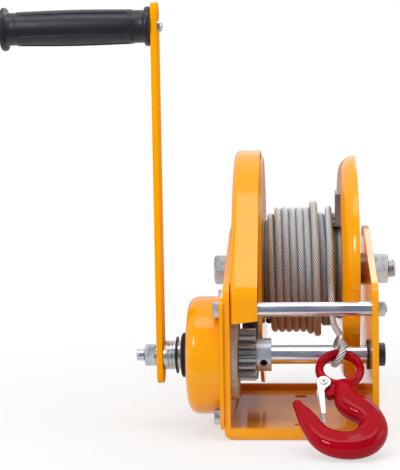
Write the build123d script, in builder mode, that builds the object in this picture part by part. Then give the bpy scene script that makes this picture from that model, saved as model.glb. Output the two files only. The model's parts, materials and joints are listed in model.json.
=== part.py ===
from build123d import *
import os
from math import acos, atan2, ceil, cos, degrees, floor, pi, radians, sin, sqrt, tan

os.makedirs("parts", exist_ok=True)

# Driving dimensions in millimetres: X along the drum, Y from front to rear, Z up

# Frame
frame_width = 120.0
base_depth = 174.0
plate_t = 5.0
lip_height = 10.0
channel_bend_r = 8.0
lip_bend_r = 5.0
plate_corner_z = 120.0
plate_top_z = 156.0
plate_slope_run = 121.0
plate_corner_r = 14.0
plate_top_front_r = 22.0
plate_top_rear_r = 28.0
base_hole_r = 5.5
base_hole_pitch = 106.0

# Gear pair and shaft places
gear_module = 2.5
pinion_teeth = 15
pressure_angle = 20.0
tooth_thinning = 0.4
tooth_root = 1.25
shaft_from_front = 46.0
shaft_z = 60.0
drum_floor_gap = 9.5

# Clearances
slip = 0.05
running = 0.05
run_gap = 0.4
seat_gap = 0.3

# Drum
gear_side_gap = 7.5
rim_side_gap = 6.5
drum_flange_r = 99.0
flange_collar_gap = 0.15
flange_t = 3.0
rim_width = 14.0
rim_lip = 0.5
barrel_r = 30.0
barrel_wall = 3.0
gear_width = 10.0
gear_boss_length = 3.5
gear_boss_r = 45.0
gear_rim_t = 9.625
gear_web_margin = 8.0
gear_window_count = 6
rivet_r = 4.0
rivet_head_r = 7.0
rivet_head_h = 3.0
rivet_pcr = 37.0
rivet_count = 6

# Drum axle
axle_r = 8.0
axle_hole_clearance = 0.25
axle_sleeve_r = 10.0
drum_bush_r = 14.0
drum_bush_overhang = 3.5
axle_washer_r = 15.0
axle_washer_t = 3.0
axle_hex = 24.0
axle_head_h = 12.0
axle_nut_h = 14.0
axle_stud_out = 6.3

# Rope
rope_d = 5.5
rope_turn_gap = 0.7
rope_outer_r = 55.0
rope_layer_rise = 5.4
# Turns where the rope climbs from the left, and turns before its end where it is raised and dropped
rope_climb_turns = (0.5, 1.0)
rope_raise_before_end = (3.75, 3.25)
rope_drop_before_end = (2.75, 2.0)
rope_anchor_angle = 105.0
rope_side_gap = 0.5
winding_clear = 0.4

# Rope clamp on the right flange
clamp_length = 7.0
clamp_strap_length = 12.0
clamp_strap_t = 4.0
clamp_strap_height = 28.0
clamp_bolt_r = 2.5
clamp_bolt_hex = 8.0
clamp_bolt_head_h = 3.5

# Guard over the gear
guard_tip_gap = 6.25
guard_t = 2.5
guard_web_r = 60.0
guard_edge_r = 5.0
guard_front_gap = 1.0
guard_front_z = 92.0
guard_front_rise = 2.4
guard_slope = 41.3
guard_bend_r = 16.0
guard_rear_angle = -20.0
guard_overhang = 0.8

# Drive shaft
shaft_r = 7.5
brake_thread_r = 7.0
stud_r = 5.0
shaft_bush_r = 10.0
shaft_bush_flange_r = 12.0
shaft_bush_flange_t = 2.0
boss_r = 36.0
boss_t = 4.8
boss_top_gap = 6.0
pinion_width = 13.8
collar_r = 13.3
collar_width = 11.9
set_screw_r = 3.0
set_screw_depth = 1.0
set_screw_angle = 200.0
retainer_r = 9.4
retainer_length = 7.4
retainer_floor = 2.4
retainer_edge_r = 1.5

# Load brake
brake_gap = 4.0
brake_plate_t = 4.0
brake_plate_r = 28.0
friction_t = 3.0
friction_r = 26.0
ratchet_t = 6.0
ratchet_tip_r = 30.0
ratchet_root_r = 25.5
ratchet_teeth = 16
hub_flange_t = 4.0
hub_flange_r = 33.0
hub_sleeve_r = 11.0
brake_end_gap = 4.0
pawl_pin_r = 2.5
pawl_pin_pcr = 38.5
pawl_pin_angle = 60.0
pawl_tip_angle = 95.0
pawl_width = 6.0
pawl_eye_r = 4.5
pawl_gap = 0.6
pawl_side_gap = 0.4
pawl_spring_r = 4.5
pawl_spring_length = 8.0
pawl_pin_head_r = 4.0
pawl_pin_head_h = 1.5

# Brake housing
housing_r = 47.5
housing_wall = 2.5
housing_edge_r = 9.0
housing_flange_t = 3.0
housing_flange_width = 97.0
housing_flange_height = 104.0
housing_corner_r = 9.0
housing_neck_r = 14.0
housing_bolt_x_pitch = 73.0
housing_bolt_z_pitch = 85.0
housing_bolt_r = 3.5
housing_bolt_hex = 11.5
housing_bolt_head_h = 5.3

# Tie bar
tie_bar_r = 5.5
tie_nut_hex = 11.0
tie_nut_h = 5.4
tie_bolt_out = 1.5

# Crank
dust_ring_r = 19.4
dust_ring_length = 5.8
hub_show = 2.8
thin_washer_r = 15.0
thin_washer_t = 1.2
spacer_r = 11.7
spacer_length = 10.6
arm_t = 4.8
arm_width = 24.0
arm_hub_end = 22.5
arm_grip_end = 18.5
arm_corner_r = 10.0
crank_radius = 266.0
crank_washer_r = 9.0
crank_washer_t = 1.5
crank_nut_hex = 16.0
crank_nut_h = 9.0
crank_stud_out = 7.0

# Grip
grip_length = 121.0
grip_inner_flange_r = 15.7
grip_inner_flange_t = 5.0
grip_outer_flange_r = 17.3
grip_outer_flange_t = 6.0
grip_neck_r = 13.0
grip_flange_edge_r = 1.8
grip_inner_neck = 9.5
grip_outer_neck = 7.0
grip_body_end_r = 13.6
grip_body_mid_r = 14.4
grip_flutes = 10
grip_flute_r = 3.2
grip_flute_depth = 1.0
grip_flute_margin = 5.0
grip_bolt_r = 4.0
grip_bolt_head_r = 7.5
grip_bolt_head_h = 4.0
grip_bolt_recess = 3.0
grip_rivet_r = 5.0
grip_rivet_h = 4.0
grip_rivet_edge_r = 1.5

# Hook: a plane leaning back from the floor, with its eye at the top
hook_eye_x = 30.0
hook_eye_y = -82.0
hook_eye_z = 55.7
hook_lean = 52.0
hook_eye_hole_r = 12.5
hook_eye_width = 6.6
hook_eye_depth = 9.6
hook_lug_t = 6.0
hook_lug_r = 4.2
# Stations along the hook: place across, place along, heading in degrees, half width, half depth
hook_stations = [
    (1.0, -14.0, -80.0, 6.5, 5.5),
    (2.5, -24.5, -58.0, 9.5, 7.0),
    (17.0, -43.0, -52.0, 10.7, 8.0),
    (23.0, -57.5, -103.0, 11.0, 8.5),
    (16.5, -69.0, -139.0, 11.5, 9.0),
    (0.7, -73.0, -185.0, 10.5, 8.5),
    (-15.0, -66.7, -211.0, 9.6, 7.5),
    (-24.5, -51.7, -237.0, 7.6, 6.5),
    (-29.8, -41.0, -241.0, 5.2, 5.0),
    (-33.0, -35.0, -242.0, 3.8, 3.8),
]
hook_tip_r = 3.8
hook_round_share = 0.96
latch_t = 1.2
latch_gap = 0.3
latch_spring_t = 1.6
latch_spring_r = 3.1
latch_pin_r = 2.0
latch_pivot = (-12.8, -17.3)
latch_tip = (-13.0, -48.5)
latch_head_r = 5.5
latch_tip_width = 4.6
latch_web_start = 9.0
latch_waist = 2.4
latch_head_gap = 0.3
latch_pin_head_r = 3.2
latch_pin_head_h = 1.0

# Rope tail, ferrule and eye
tail_route = [
    (25.4, 73.9, 66.9),
    (25.4, 97.2, 83.2),
    (25.4, 109.2, 109.0),
    (25.4, 106.7, 137.3),
    (25.4, 90.4, 160.6),
    (25.4, 64.6, 172.6),
    (25.4, 36.3, 170.1),
    (25.4, 13.0, 153.8),
    (25.4, 1.0, 128.0),
    (25.6, 2.4, 110.6),
    (26.2, 0.9, 100.6),
    (26.9, -3.6, 91.05),
    (27.2, -10.6, 83.6),
    (28.2, -19.6, 79.0),
    (30.6, -29.5, 76.9),
    (31.71, -39.63, 75.67),
    (31.2, -48.6, 72.6),
]
tail_arc_share = 0.45
ferrule_width = 12.4
ferrule_height = 8.4
ferrule_edge_r = 1.2
ferrule_length = 8.5
rope_eye_twist = -28.0
rope_eye_lead = 70.0
rope_eye_run = 1.5

# Places worked out from the driving dimensions
plate_out = frame_width / 2
plate_in = plate_out - plate_t
front_y = -base_depth / 2
rear_y = base_depth / 2
shaft_y = front_y + shaft_from_front
gear_teeth = ceil(2 * (drum_flange_r + flange_collar_gap + collar_r) / gear_module) - pinion_teeth
pitch_sum = gear_module * (pinion_teeth + gear_teeth) / 2
gear_tip_r = gear_module * (gear_teeth / 2 + 1)
gear_root_r = gear_module * (gear_teeth / 2 - tooth_root)
gear_window_r = (gear_root_r - gear_rim_t - gear_boss_r - gear_web_margin) / 2
gear_window_pcr = gear_boss_r + gear_web_margin + gear_window_r
drum_z = lip_height + drum_floor_gap + drum_flange_r
drum_y = shaft_y + sqrt(pitch_sum**2 - (drum_z - shaft_z) ** 2)
gear_left = -plate_in + gear_side_gap
gear_right = gear_left + gear_width
rope_left = gear_right + gear_boss_length + flange_t
rim_x = plate_in - rim_side_gap
rope_right = rim_x - rim_width
rim_bend_r = rim_width - rim_lip
guard_r = gear_tip_r + guard_tip_gap + guard_t
guard_right = rope_left - flange_t + guard_overhang
rope_r = rope_d / 2
rope_pitch = rope_d + rope_turn_gap
rope_room = rope_right - rope_left - 2 * (rope_side_gap + rope_r)
rope_turns = floor(rope_room / rope_pitch - 0.5) + 0.5
rope_raise_turns = [rope_turns - turn for turn in rope_raise_before_end]
rope_drop_turns = [rope_turns - turn for turn in rope_drop_before_end]
rope_level_2 = rope_outer_r - rope_r
rope_level_1 = rope_level_2 - rope_layer_rise
rope_level_3 = rope_level_2 + rope_layer_rise
shaft_axis = (shaft_y, shaft_z)
drum_axis = (drum_y, drum_z)
grip_axis = (shaft_y, shaft_z + crank_radius)
tie_axis = (shaft_y - housing_bolt_x_pitch / 2, shaft_z + housing_bolt_z_pitch / 2)

# The crank's stack of pieces, each from the face of the one before, going left
brake_plate_x = -(plate_out + brake_gap)
friction_in_x = brake_plate_x - brake_plate_t
ratchet_x = friction_in_x - friction_t
friction_out_x = ratchet_x - ratchet_t
hub_flange_x = friction_out_x - friction_t
hub_sleeve_x = hub_flange_x - hub_flange_t
housing_inner_x = hub_sleeve_x - brake_end_gap
housing_outer_x = housing_inner_x - housing_wall
dust_ring_x = housing_outer_x - run_gap
hub_end_x = dust_ring_x - dust_ring_length - hub_show
spacer_x = hub_end_x - thin_washer_t
arm_x = spacer_x - spacer_length
arm_out_x = arm_x - arm_t
crank_nut_x = arm_out_x - crank_washer_t
stud_end_x = crank_nut_x - crank_nut_h - crank_stud_out
grip_right_x = arm_out_x - run_gap
grip_left_x = grip_right_x - grip_length


def cross_plane(x, axis):
    """A plane square to X at x, centred on a (y, z) axis: local x is Y, local y is Z."""
    return Plane(origin=(x, *axis), x_dir=(0, 1, 0), z_dir=(1, 0, 0))


def save(piece, name):
    piece.part.label = name
    export_step(piece.part, f"parts/{name}.step")


def turned(name, axis, profile, rounds=None):
    """Revolve a closed (x, radius) profile about an axis along X; rounds maps a corner to its radius."""
    with BuildPart() as piece:
        with BuildSketch(Plane(origin=(0, *axis), x_dir=(1, 0, 0), z_dir=(0, -1, 0))) as section:
            with BuildLine():
                Polyline(*profile, close=True)
            make_face()
            for corner, radius in (rounds or {}).items():
                fillet(section.vertices().sort_by_distance(profile[corner])[0], radius)
        revolve(axis=Axis((0, *axis), (1, 0, 0)))
    save(piece, name)


def ring(name, axis, x_start, x_end, outer_r, bore_r):
    turned(name, axis, [(x_start, bore_r), (x_start, outer_r), (x_end, outer_r), (x_end, bore_r)])


def hexagon(across_flats):
    RegularPolygon(radius=across_flats / 2, side_count=6, major_radius=False)


def involute(angle):
    return tan(angle) - angle


def gear_outline(teeth, turn):
    """Closed outline of a spur gear, with a tooth centred at turn degrees."""
    pitch_r = gear_module * teeth / 2
    base_r = pitch_r * cos(radians(pressure_angle))
    tip_r = pitch_r + gear_module
    root_r = pitch_r - tooth_root * gear_module
    half_tooth = pi / (2 * teeth) - tooth_thinning / (2 * pitch_r) + involute(radians(pressure_angle))

    def flank(radius, tooth_angle, side):
        roll = acos(min(1.0, base_r / radius))
        angle = tooth_angle + side * (half_tooth - involute(roll))
        return (radius * cos(angle), radius * sin(angle))

    start_r = max(root_r, base_r)
    middle_r = (start_r + tip_r) / 2
    tooth_angles = [radians(turn) + 2 * pi * index / teeth for index in range(teeth)]
    roots = []
    for angle in tooth_angles:
        low, high = flank(start_r, angle, -1), flank(start_r, angle, 1)
        foot_low, foot_high = flank(root_r, angle, -1), flank(root_r, angle, 1)
        if root_r < base_r:
            Line(foot_low, low)
            Line(high, foot_high)
        ThreePointArc(low, flank(middle_r, angle, -1), flank(tip_r, angle, -1))
        Line(flank(tip_r, angle, -1), flank(tip_r, angle, 1))
        ThreePointArc(flank(tip_r, angle, 1), flank(middle_r, angle, 1), high)
        roots.append((foot_low, foot_high))
    for index in range(teeth):
        Line(roots[index - 1][1], roots[index][0])


# Frame: a channel with lips across its front and rear, cut to the side plates' outline
with BuildPart() as frame:
    with BuildSketch(Plane.XZ.offset(-rear_y)) as channel:
        Rectangle(frame_width, plate_top_z, align=(Align.CENTER, Align.MIN))
        fillet(channel.vertices().group_by(Axis.Y)[0], channel_bend_r)
    extrude(amount=base_depth)
    with BuildSketch(Plane.XZ.offset(-rear_y)) as channel_inside:
        with Locations((0, plate_t)):
            Rectangle(2 * plate_in, plate_top_z, align=(Align.CENTER, Align.MIN))
        fillet(channel_inside.vertices().group_by(Axis.Y)[0], channel_bend_r - plate_t)
    extrude(amount=base_depth, mode=Mode.SUBTRACT)
    with Locations((0, front_y + plate_t / 2, 0), (0, rear_y - plate_t / 2, 0)):
        Box(2 * plate_in, plate_t, lip_height, align=(Align.CENTER, Align.CENTER, Align.MIN))
    with BuildSketch(Plane.YZ) as side_outline:
        with BuildLine():
            Polyline(
                (front_y, 0),
                (front_y, plate_corner_z),
                (front_y + plate_slope_run, plate_top_z),
                (rear_y, plate_top_z),
                (rear_y, 0),
                close=True,
            )
        make_face()
        fillet(side_outline.vertices().group_by(Axis.Y)[0], lip_bend_r)
        fillet(side_outline.vertices().sort_by_distance((front_y, plate_corner_z))[0], plate_corner_r)
        top_front = (front_y + plate_slope_run, plate_top_z)
        fillet(side_outline.vertices().sort_by_distance(top_front)[0], plate_top_front_r)
        fillet(side_outline.vertices().sort_by_distance((rear_y, plate_top_z))[0], plate_top_rear_r)
    extrude(amount=plate_out, both=True, mode=Mode.INTERSECT)
    with Locations((0, -base_hole_pitch / 2, plate_t), (0, base_hole_pitch / 2, plate_t)):
        Hole(base_hole_r, depth=plate_t)
    with BuildSketch(cross_plane(0, drum_axis)):
        Circle(axle_r + axle_hole_clearance)
    extrude(amount=plate_out, both=True, mode=Mode.SUBTRACT)
    with BuildSketch(cross_plane(0, shaft_axis)):
        Circle(shaft_bush_r + slip)
        with GridLocations(housing_bolt_x_pitch, housing_bolt_z_pitch, 2, 2):
            Circle(housing_bolt_r + slip)
        with PolarLocations(pawl_pin_pcr, 1, start_angle=pawl_pin_angle):
            Circle(pawl_pin_r + slip)
    extrude(amount=-plate_out, mode=Mode.SUBTRACT)
    with BuildSketch(cross_plane(0, shaft_axis)):
        Circle(shaft_bush_r + slip)
    extrude(amount=plate_out, mode=Mode.SUBTRACT)
    with BuildSketch(cross_plane(0, tie_axis)):
        Circle(housing_bolt_r + slip)
    extrude(amount=plate_out, mode=Mode.SUBTRACT)
save(frame, "frame")


def guard_corner(inset):
    """Where the guard's slope meets its front wall, both set in by inset, seen from the drum's axis."""
    slope = radians(guard_slope)
    across = front_y + guard_front_gap + inset - drum_y
    return across, (guard_r - inset + across * cos(slope)) / sin(slope)


def guard_outline(inset, web_r):
    """Band up the guard's front wall and slope, over the gear, and back along the web's inner radius."""
    radius = guard_r - inset
    slope = radians(guard_slope)
    rear = radians(guard_rear_angle)
    bottom = guard_front_z - drum_z
    corner = guard_corner(inset)
    slope_top = (-radius * cos(slope), radius * sin(slope))
    Polyline((-web_r, 0), (-web_r, bottom), (corner[0], bottom), corner, slope_top)
    CenterArc((0, 0), radius, guard_rear_angle, 180 - guard_slope - guard_rear_angle)
    Line((radius * cos(rear), radius * sin(rear)), (web_r * cos(rear), web_r * sin(rear)))
    CenterArc((0, 0), web_r, guard_rear_angle, 180 - guard_rear_angle)


# Gear guard: a pressed pan with a sloped front, welded to the left plate over the tie bolt
with BuildPart() as gear_guard:
    with BuildSketch(cross_plane(-plate_in, drum_axis)) as guard_outside:
        with BuildLine():
            guard_outline(0, guard_web_r)
        make_face()
        fillet(guard_outside.vertices().sort_by_distance(guard_corner(0))[0], guard_bend_r)
    extrude(amount=guard_right + plate_in)
    outer_edges = gear_guard.faces().sort_by(Axis.X)[0].edges().filter_by(
        lambda edge: (edge @ 0.5).Z > guard_front_z + guard_t
        and (edge @ 0.5 - Vector(-plate_in, *drum_axis)).length > guard_r - guard_t
    )
    fillet(outer_edges, guard_edge_r)
    with BuildSketch(cross_plane(-plate_in + guard_t, drum_axis)) as guard_inside:
        with BuildLine():
            guard_outline(guard_t, guard_web_r - guard_t)
        make_face()
        fillet(guard_inside.vertices().sort_by_distance(guard_corner(guard_t))[0], guard_bend_r - guard_t)
    extrude(amount=guard_right + plate_in, mode=Mode.SUBTRACT)
    with BuildSketch(Plane.XZ.offset(-drum_y)):
        with BuildLine():
            Polyline(
                (-plate_in + guard_t, guard_front_z),
                (guard_right, guard_front_z),
                (guard_right, guard_front_z + guard_front_rise),
                close=True,
            )
        make_face()
    extrude(amount=drum_y - front_y, mode=Mode.SUBTRACT)
    with BuildSketch(cross_plane(-plate_in, tie_axis)):
        Circle(housing_bolt_r + slip)
    extrude(amount=guard_t, mode=Mode.SUBTRACT)
save(gear_guard, "gear_guard")

# Brake housing: a drawn cup on a square flange
cup_inner_r = housing_r - housing_wall
with BuildPart() as brake_housing:
    with BuildSketch(cross_plane(-plate_out, shaft_axis)):
        RectangleRounded(housing_flange_width, housing_flange_height, housing_corner_r)
    extrude(amount=-housing_flange_t)
    with BuildSketch(cross_plane(-plate_out, shaft_axis)):
        Circle(housing_r)
    extrude(amount=housing_outer_x + plate_out)
    fillet(brake_housing.faces().sort_by(Axis.X)[0].edges(), housing_edge_r)
    with BuildSketch(Plane(origin=(0, *shaft_axis), x_dir=(1, 0, 0), z_dir=(0, -1, 0))) as cavity:
        with Locations((housing_inner_x, 0)):
            Rectangle(-plate_out - housing_inner_x, cup_inner_r, align=(Align.MIN, Align.MIN))
        far_corner = cavity.vertices().sort_by_distance((housing_inner_x, cup_inner_r))[0]
        fillet(far_corner, housing_edge_r - housing_wall)
    revolve(axis=Axis((0, *shaft_axis), (1, 0, 0)), mode=Mode.SUBTRACT)
    with BuildSketch(cross_plane(-plate_out, shaft_axis)):
        Circle(housing_neck_r)
        with GridLocations(housing_bolt_x_pitch, housing_bolt_z_pitch, 2, 2):
            Circle(housing_bolt_r + slip)
    extrude(amount=2 * housing_outer_x, mode=Mode.SUBTRACT)
save(brake_housing, "brake_housing")

# Housing bolts: three into the left plate; the fourth place takes the tie bolt
half_pitch_y = housing_bolt_x_pitch / 2
half_pitch_z = housing_bolt_z_pitch / 2
bolt_places = [(-half_pitch_y, -half_pitch_z), (half_pitch_y, -half_pitch_z), (half_pitch_y, half_pitch_z)]
housing_face_x = -plate_out - housing_flange_t
with BuildPart() as housing_bolts:
    with BuildSketch(cross_plane(housing_face_x, shaft_axis)):
        with Locations(*bolt_places):
            hexagon(housing_bolt_hex)
    extrude(amount=-housing_bolt_head_h)
    with BuildSketch(cross_plane(housing_face_x, shaft_axis)):
        with Locations(*bolt_places):
            Circle(housing_bolt_r)
    extrude(amount=housing_flange_t + plate_t)
save(housing_bolts, "housing_bolts")

# Tie bar: a tube from the guard's web to the right plate, on a through bolt
ring("tie_bar", tie_axis, -plate_in + guard_t, plate_in, tie_bar_r, housing_bolt_r + slip)

tie_bolt_end = plate_out + tie_nut_h + tie_bolt_out
with BuildPart() as tie_bolt:
    with BuildSketch(cross_plane(housing_face_x, tie_axis)):
        hexagon(housing_bolt_hex)
    extrude(amount=-housing_bolt_head_h)
    with BuildSketch(cross_plane(housing_face_x, tie_axis)):
        Circle(housing_bolt_r)
    extrude(amount=tie_bolt_end - housing_face_x)
save(tie_bolt, "tie_bolt")


def hex_nut(name, axis, x_start, x_end, across_flats, bore_r):
    with BuildPart() as nut:
        with BuildSketch(cross_plane(x_start, axis)):
            hexagon(across_flats)
            Circle(bore_r, mode=Mode.SUBTRACT)
        extrude(amount=x_end - x_start)
    save(nut, name)


hex_nut("tie_nut", tie_axis, plate_out, plate_out + tie_nut_h, tie_nut_hex, housing_bolt_r + slip)

# Drum axle: bolt, washers, nut, sleeve between the plates and the spacers beside the drum
axle_head_x = -plate_out - axle_washer_t
axle_nut_x = plate_out + axle_washer_t
with BuildPart() as axle_bolt:
    with BuildSketch(cross_plane(axle_head_x, drum_axis)):
        hexagon(axle_hex)
    extrude(amount=-axle_head_h)
    with BuildSketch(cross_plane(axle_head_x, drum_axis)):
        Circle(axle_r)
    extrude(amount=axle_nut_x + axle_nut_h + axle_stud_out - axle_head_x)
save(axle_bolt, "axle_bolt")

with BuildPart() as axle_washers:
    for washer_x in (axle_head_x, plate_out):
        with BuildSketch(cross_plane(washer_x, drum_axis)):
            Circle(axle_washer_r)
            Circle(axle_r + slip, mode=Mode.SUBTRACT)
        extrude(amount=axle_washer_t)
save(axle_washers, "axle_washers")

hex_nut("axle_nut", drum_axis, axle_nut_x, axle_nut_x + axle_nut_h, axle_hex, axle_r + slip)
ring("axle_sleeve", drum_axis, -plate_in, plate_in, axle_sleeve_r, axle_r + slip)

drum_hub_right = rope_right + flange_t + drum_bush_overhang
spacer_bore_r = axle_sleeve_r + slip
ring("drum_spacer_left", drum_axis, -plate_in, gear_left - run_gap, drum_bush_r, spacer_bore_r)
ring("drum_spacer_right", drum_axis, drum_hub_right + run_gap, plate_in, drum_bush_r, spacer_bore_r)

# Drum: barrel, two flanges, gear riveted to the left flange, bushes on the axle sleeve
ring("drum_barrel", drum_axis, rope_left, rope_right, barrel_r, barrel_r - barrel_wall)

with BuildPart() as drum_flange_left:
    with BuildSketch(cross_plane(rope_left, drum_axis)):
        Circle(drum_flange_r)
        Circle(drum_bush_r + slip, mode=Mode.SUBTRACT)
        with PolarLocations(rivet_pcr, rivet_count):
            Circle(rivet_r + slip, mode=Mode.SUBTRACT)
    extrude(amount=-flange_t)
save(drum_flange_left, "drum_flange_left")

mesh_angle = degrees(atan2(shaft_z - drum_z, shaft_y - drum_y))
with BuildPart() as drum_gear:
    with BuildSketch(cross_plane(gear_left, drum_axis)):
        with BuildLine():
            gear_outline(gear_teeth, mesh_angle + 180 / gear_teeth)
        make_face()
    extrude(amount=gear_width)
    with BuildSketch(cross_plane(gear_right, drum_axis)):
        Circle(gear_boss_r)
    extrude(amount=gear_boss_length)
    with BuildSketch(cross_plane(gear_left, drum_axis)):
        Circle(drum_bush_r + slip)
        with PolarLocations(rivet_pcr, rivet_count):
            Circle(rivet_r + slip)
        with PolarLocations(gear_window_pcr, gear_window_count):
            Circle(gear_window_r)
    extrude(amount=gear_width + gear_boss_length, mode=Mode.SUBTRACT)
save(drum_gear, "drum_gear")

with BuildPart() as gear_rivets:
    with BuildSketch(cross_plane(gear_left, drum_axis)):
        with PolarLocations(rivet_pcr, rivet_count):
            Circle(rivet_head_r)
    extrude(amount=-rivet_head_h)
    with BuildSketch(cross_plane(gear_left, drum_axis)):
        with PolarLocations(rivet_pcr, rivet_count):
            Circle(rivet_r)
    extrude(amount=rope_left - gear_left)
save(gear_rivets, "gear_rivets")

bush_inner_left = rope_left + drum_bush_overhang
bush_inner_right = rope_right - drum_bush_overhang
drum_bush_bore_r = axle_sleeve_r + running
ring("drum_bush_left", drum_axis, gear_left, bush_inner_left, drum_bush_r, drum_bush_bore_r)
ring("drum_bush_right", drum_axis, bush_inner_right, drum_hub_right, drum_bush_r, drum_bush_bore_r)


def eased(share):
    share = min(1.0, max(0.0, share))
    return share * share * (3 - 2 * share)


def rope_level(turn):
    """Radius of the rope's middle line: it climbs a layer, then another, then drops both."""
    level = rope_level_1
    level += rope_layer_rise * eased((turn - rope_climb_turns[0]) / (rope_climb_turns[1] - rope_climb_turns[0]))
    level += rope_layer_rise * eased((turn - rope_raise_turns[0]) / (rope_raise_turns[1] - rope_raise_turns[0]))
    level -= 2 * rope_layer_rise * eased((turn - rope_drop_turns[0]) / (rope_drop_turns[1] - rope_drop_turns[0]))
    return level


rope_start_x = rope_left + rope_side_gap + rope_r


def rope_point(turn):
    angle = radians(rope_anchor_angle) + 2 * pi * (turn - rope_turns)
    level = rope_level(turn)
    x = rope_start_x + rope_pitch * turn
    return Vector(x, drum_y + level * cos(angle), drum_z + level * sin(angle))


def rope_heading(turn):
    step = 1e-4
    return (rope_point(turn + step) - rope_point(turn - step)).normalized()


def biarc(start, heading, end, end_heading):
    """Two arcs, tangent to each other, from one point and heading to another."""
    chord = end - start
    pull = heading + end_heading
    spread = 2 * (1 - heading.dot(end_heading))
    along = chord.dot(pull)
    reach = (sqrt(along**2 + spread * chord.dot(chord)) - along) / spread
    first_corner = start + heading * reach
    last_corner = end - end_heading * reach
    joint = (first_corner + last_corner) * 0.5
    TangentArc(start, joint, tangent=heading)
    TangentArc(joint, end, tangent=last_corner - first_corner)


# Rope on the drum: a plain stepped core, and one unbroken tube wound over it
core_low = rope_level_1 - rope_r - seat_gap
core_high = rope_level_2 - rope_r - seat_gap
core_step_in = rope_start_x + rope_pitch * rope_climb_turns[1] + rope_r
core_step_out = rope_start_x + rope_pitch * rope_drop_turns[0] - rope_r
turned(
    "rope_core",
    drum_axis,
    [
        (rope_left, barrel_r + slip),
        (rope_left, core_low),
        (core_step_in, core_low),
        (core_step_in, core_high),
        (core_step_out, core_high),
        (core_step_out, core_low),
        (rope_right, core_low),
        (rope_right, barrel_r + slip),
    ],
)

quarters = round(4 * rope_turns)
winding_start = rope_point(0) - rope_heading(0) * rope_d
winding_end = rope_point(rope_turns) + rope_heading(rope_turns) * rope_d
with BuildPart() as rope_winding:
    with BuildLine() as winding_path:
        Line(winding_start, rope_point(0))
        for quarter in range(quarters):
            turn, next_turn = quarter / 4, (quarter + 1) / 4
            biarc(rope_point(turn), rope_heading(turn), rope_point(next_turn), rope_heading(next_turn))
        Line(rope_point(rope_turns), winding_end)
    with BuildSketch(Plane(origin=winding_start, z_dir=rope_heading(0))):
        Circle(rope_r)
    sweep()
save(rope_winding, "rope_winding")

# Least gap of the winding to itself, between points at least half a turn apart
samples = 5
half_turn_arcs = 4
path_points = [edge @ (part / samples) for edge in winding_path.edges() for part in range(samples)]
apart = samples * half_turn_arcs
least = min(
    (path_points[later] - path_points[earlier]).length
    for earlier in range(len(path_points))
    for later in range(earlier + apart, len(path_points))
)
print(f"winding: least gap to itself {least - rope_d:.3f} mm, wanted over {winding_clear}")
winding_length = winding_path.wire().length
print(f"winding: volume {rope_winding.part.volume:.0f}, section by length {pi * rope_r**2 * winding_length:.0f}")

# Rope clamp: a stepped block that the rope's end meets, bolted to the right flange
end_heading = rope_heading(rope_turns)
clamp_heading = Vector(0, end_heading.Y, end_heading.Z).normalized()
clamp_plane = Plane(origin=winding_end + clamp_heading * 2 * slip, x_dir=(1, 0, 0), z_dir=clamp_heading)
clamp_x = rope_right - winding_end.X
clamp_foot = rope_r + seat_gap / 2
clamp_sweep_r = rope_level_1 + rope_r + seat_gap / 2
clamp_reach = sqrt(clamp_sweep_r**2 - (rope_d + clamp_length + 2 * slip) ** 2) - rope_level_1
clamp_bolt_y = (clamp_reach + clamp_strap_height) / 2
clamp_bolt_place = clamp_plane.from_local_coords((0, clamp_bolt_y, clamp_strap_length / 2))
clamp_bolt_axis = (clamp_bolt_place.Y, clamp_bolt_place.Z)
strap_x = rope_right - clamp_strap_t
with BuildPart() as rope_clamp:
    with BuildSketch(clamp_plane):
        with Locations((-rope_r, -clamp_foot)):
            Rectangle(clamp_x + rope_r, clamp_foot + clamp_reach, align=(Align.MIN, Align.MIN))
    extrude(amount=clamp_length)
    with BuildSketch(clamp_plane):
        with Locations((clamp_x, 0)):
            Rectangle(clamp_strap_t, clamp_strap_height, align=(Align.MAX, Align.MIN))
    extrude(amount=clamp_strap_length)
    with BuildSketch(cross_plane(strap_x, clamp_bolt_axis)):
        Circle(clamp_bolt_r + slip)
    extrude(amount=clamp_strap_t, mode=Mode.SUBTRACT)
save(rope_clamp, "rope_clamp")

with BuildPart() as clamp_bolt:
    with BuildSketch(cross_plane(strap_x, clamp_bolt_axis)):
        Circle(clamp_bolt_r)
    extrude(amount=clamp_strap_t + flange_t)
    with BuildSketch(cross_plane(rope_right + flange_t, clamp_bolt_axis)):
        hexagon(clamp_bolt_hex)
    extrude(amount=clamp_bolt_head_h)
save(clamp_bolt, "clamp_bolt")

# Right flange: a disc with its rim turned outward
rim_inner_r = drum_flange_r - flange_t
with BuildPart() as drum_flange_right:
    with BuildSketch(Plane(origin=(0, *drum_axis), x_dir=(1, 0, 0), z_dir=(0, -1, 0))) as flange_section:
        with BuildLine():
            Polyline(
                (rope_right, drum_bush_r + slip),
                (rope_right, drum_flange_r),
                (rim_x, drum_flange_r),
                (rim_x, rim_inner_r),
                (rope_right + flange_t, rim_inner_r),
                (rope_right + flange_t, drum_bush_r + slip),
                close=True,
            )
        make_face()
        outer_bend = flange_section.vertices().sort_by_distance((rope_right, drum_flange_r))[0]
        fillet(outer_bend, rim_bend_r)
        inner_bend = flange_section.vertices().sort_by_distance((rope_right + flange_t, rim_inner_r))[0]
        fillet(inner_bend, rim_bend_r - flange_t)
    revolve(axis=Axis((0, *drum_axis), (1, 0, 0)))
    with BuildSketch(cross_plane(rope_right, clamp_bolt_axis)):
        Circle(clamp_bolt_r + slip)
    extrude(amount=flange_t, mode=Mode.SUBTRACT)
save(drum_flange_right, "drum_flange_right")

# Drive shaft: plain journal, brake thread and the crank's stud
retainer_x = plate_out + run_gap
shaft_right = retainer_x + retainer_length - retainer_floor
turned(
    "drive_shaft",
    shaft_axis,
    [
        (shaft_right, 0),
        (shaft_right, shaft_r),
        (brake_plate_x, shaft_r),
        (brake_plate_x, brake_thread_r),
        (arm_x, brake_thread_r),
        (arm_x, stud_r),
        (stud_end_x, stud_r),
        (stud_end_x, 0),
    ],
)

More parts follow.
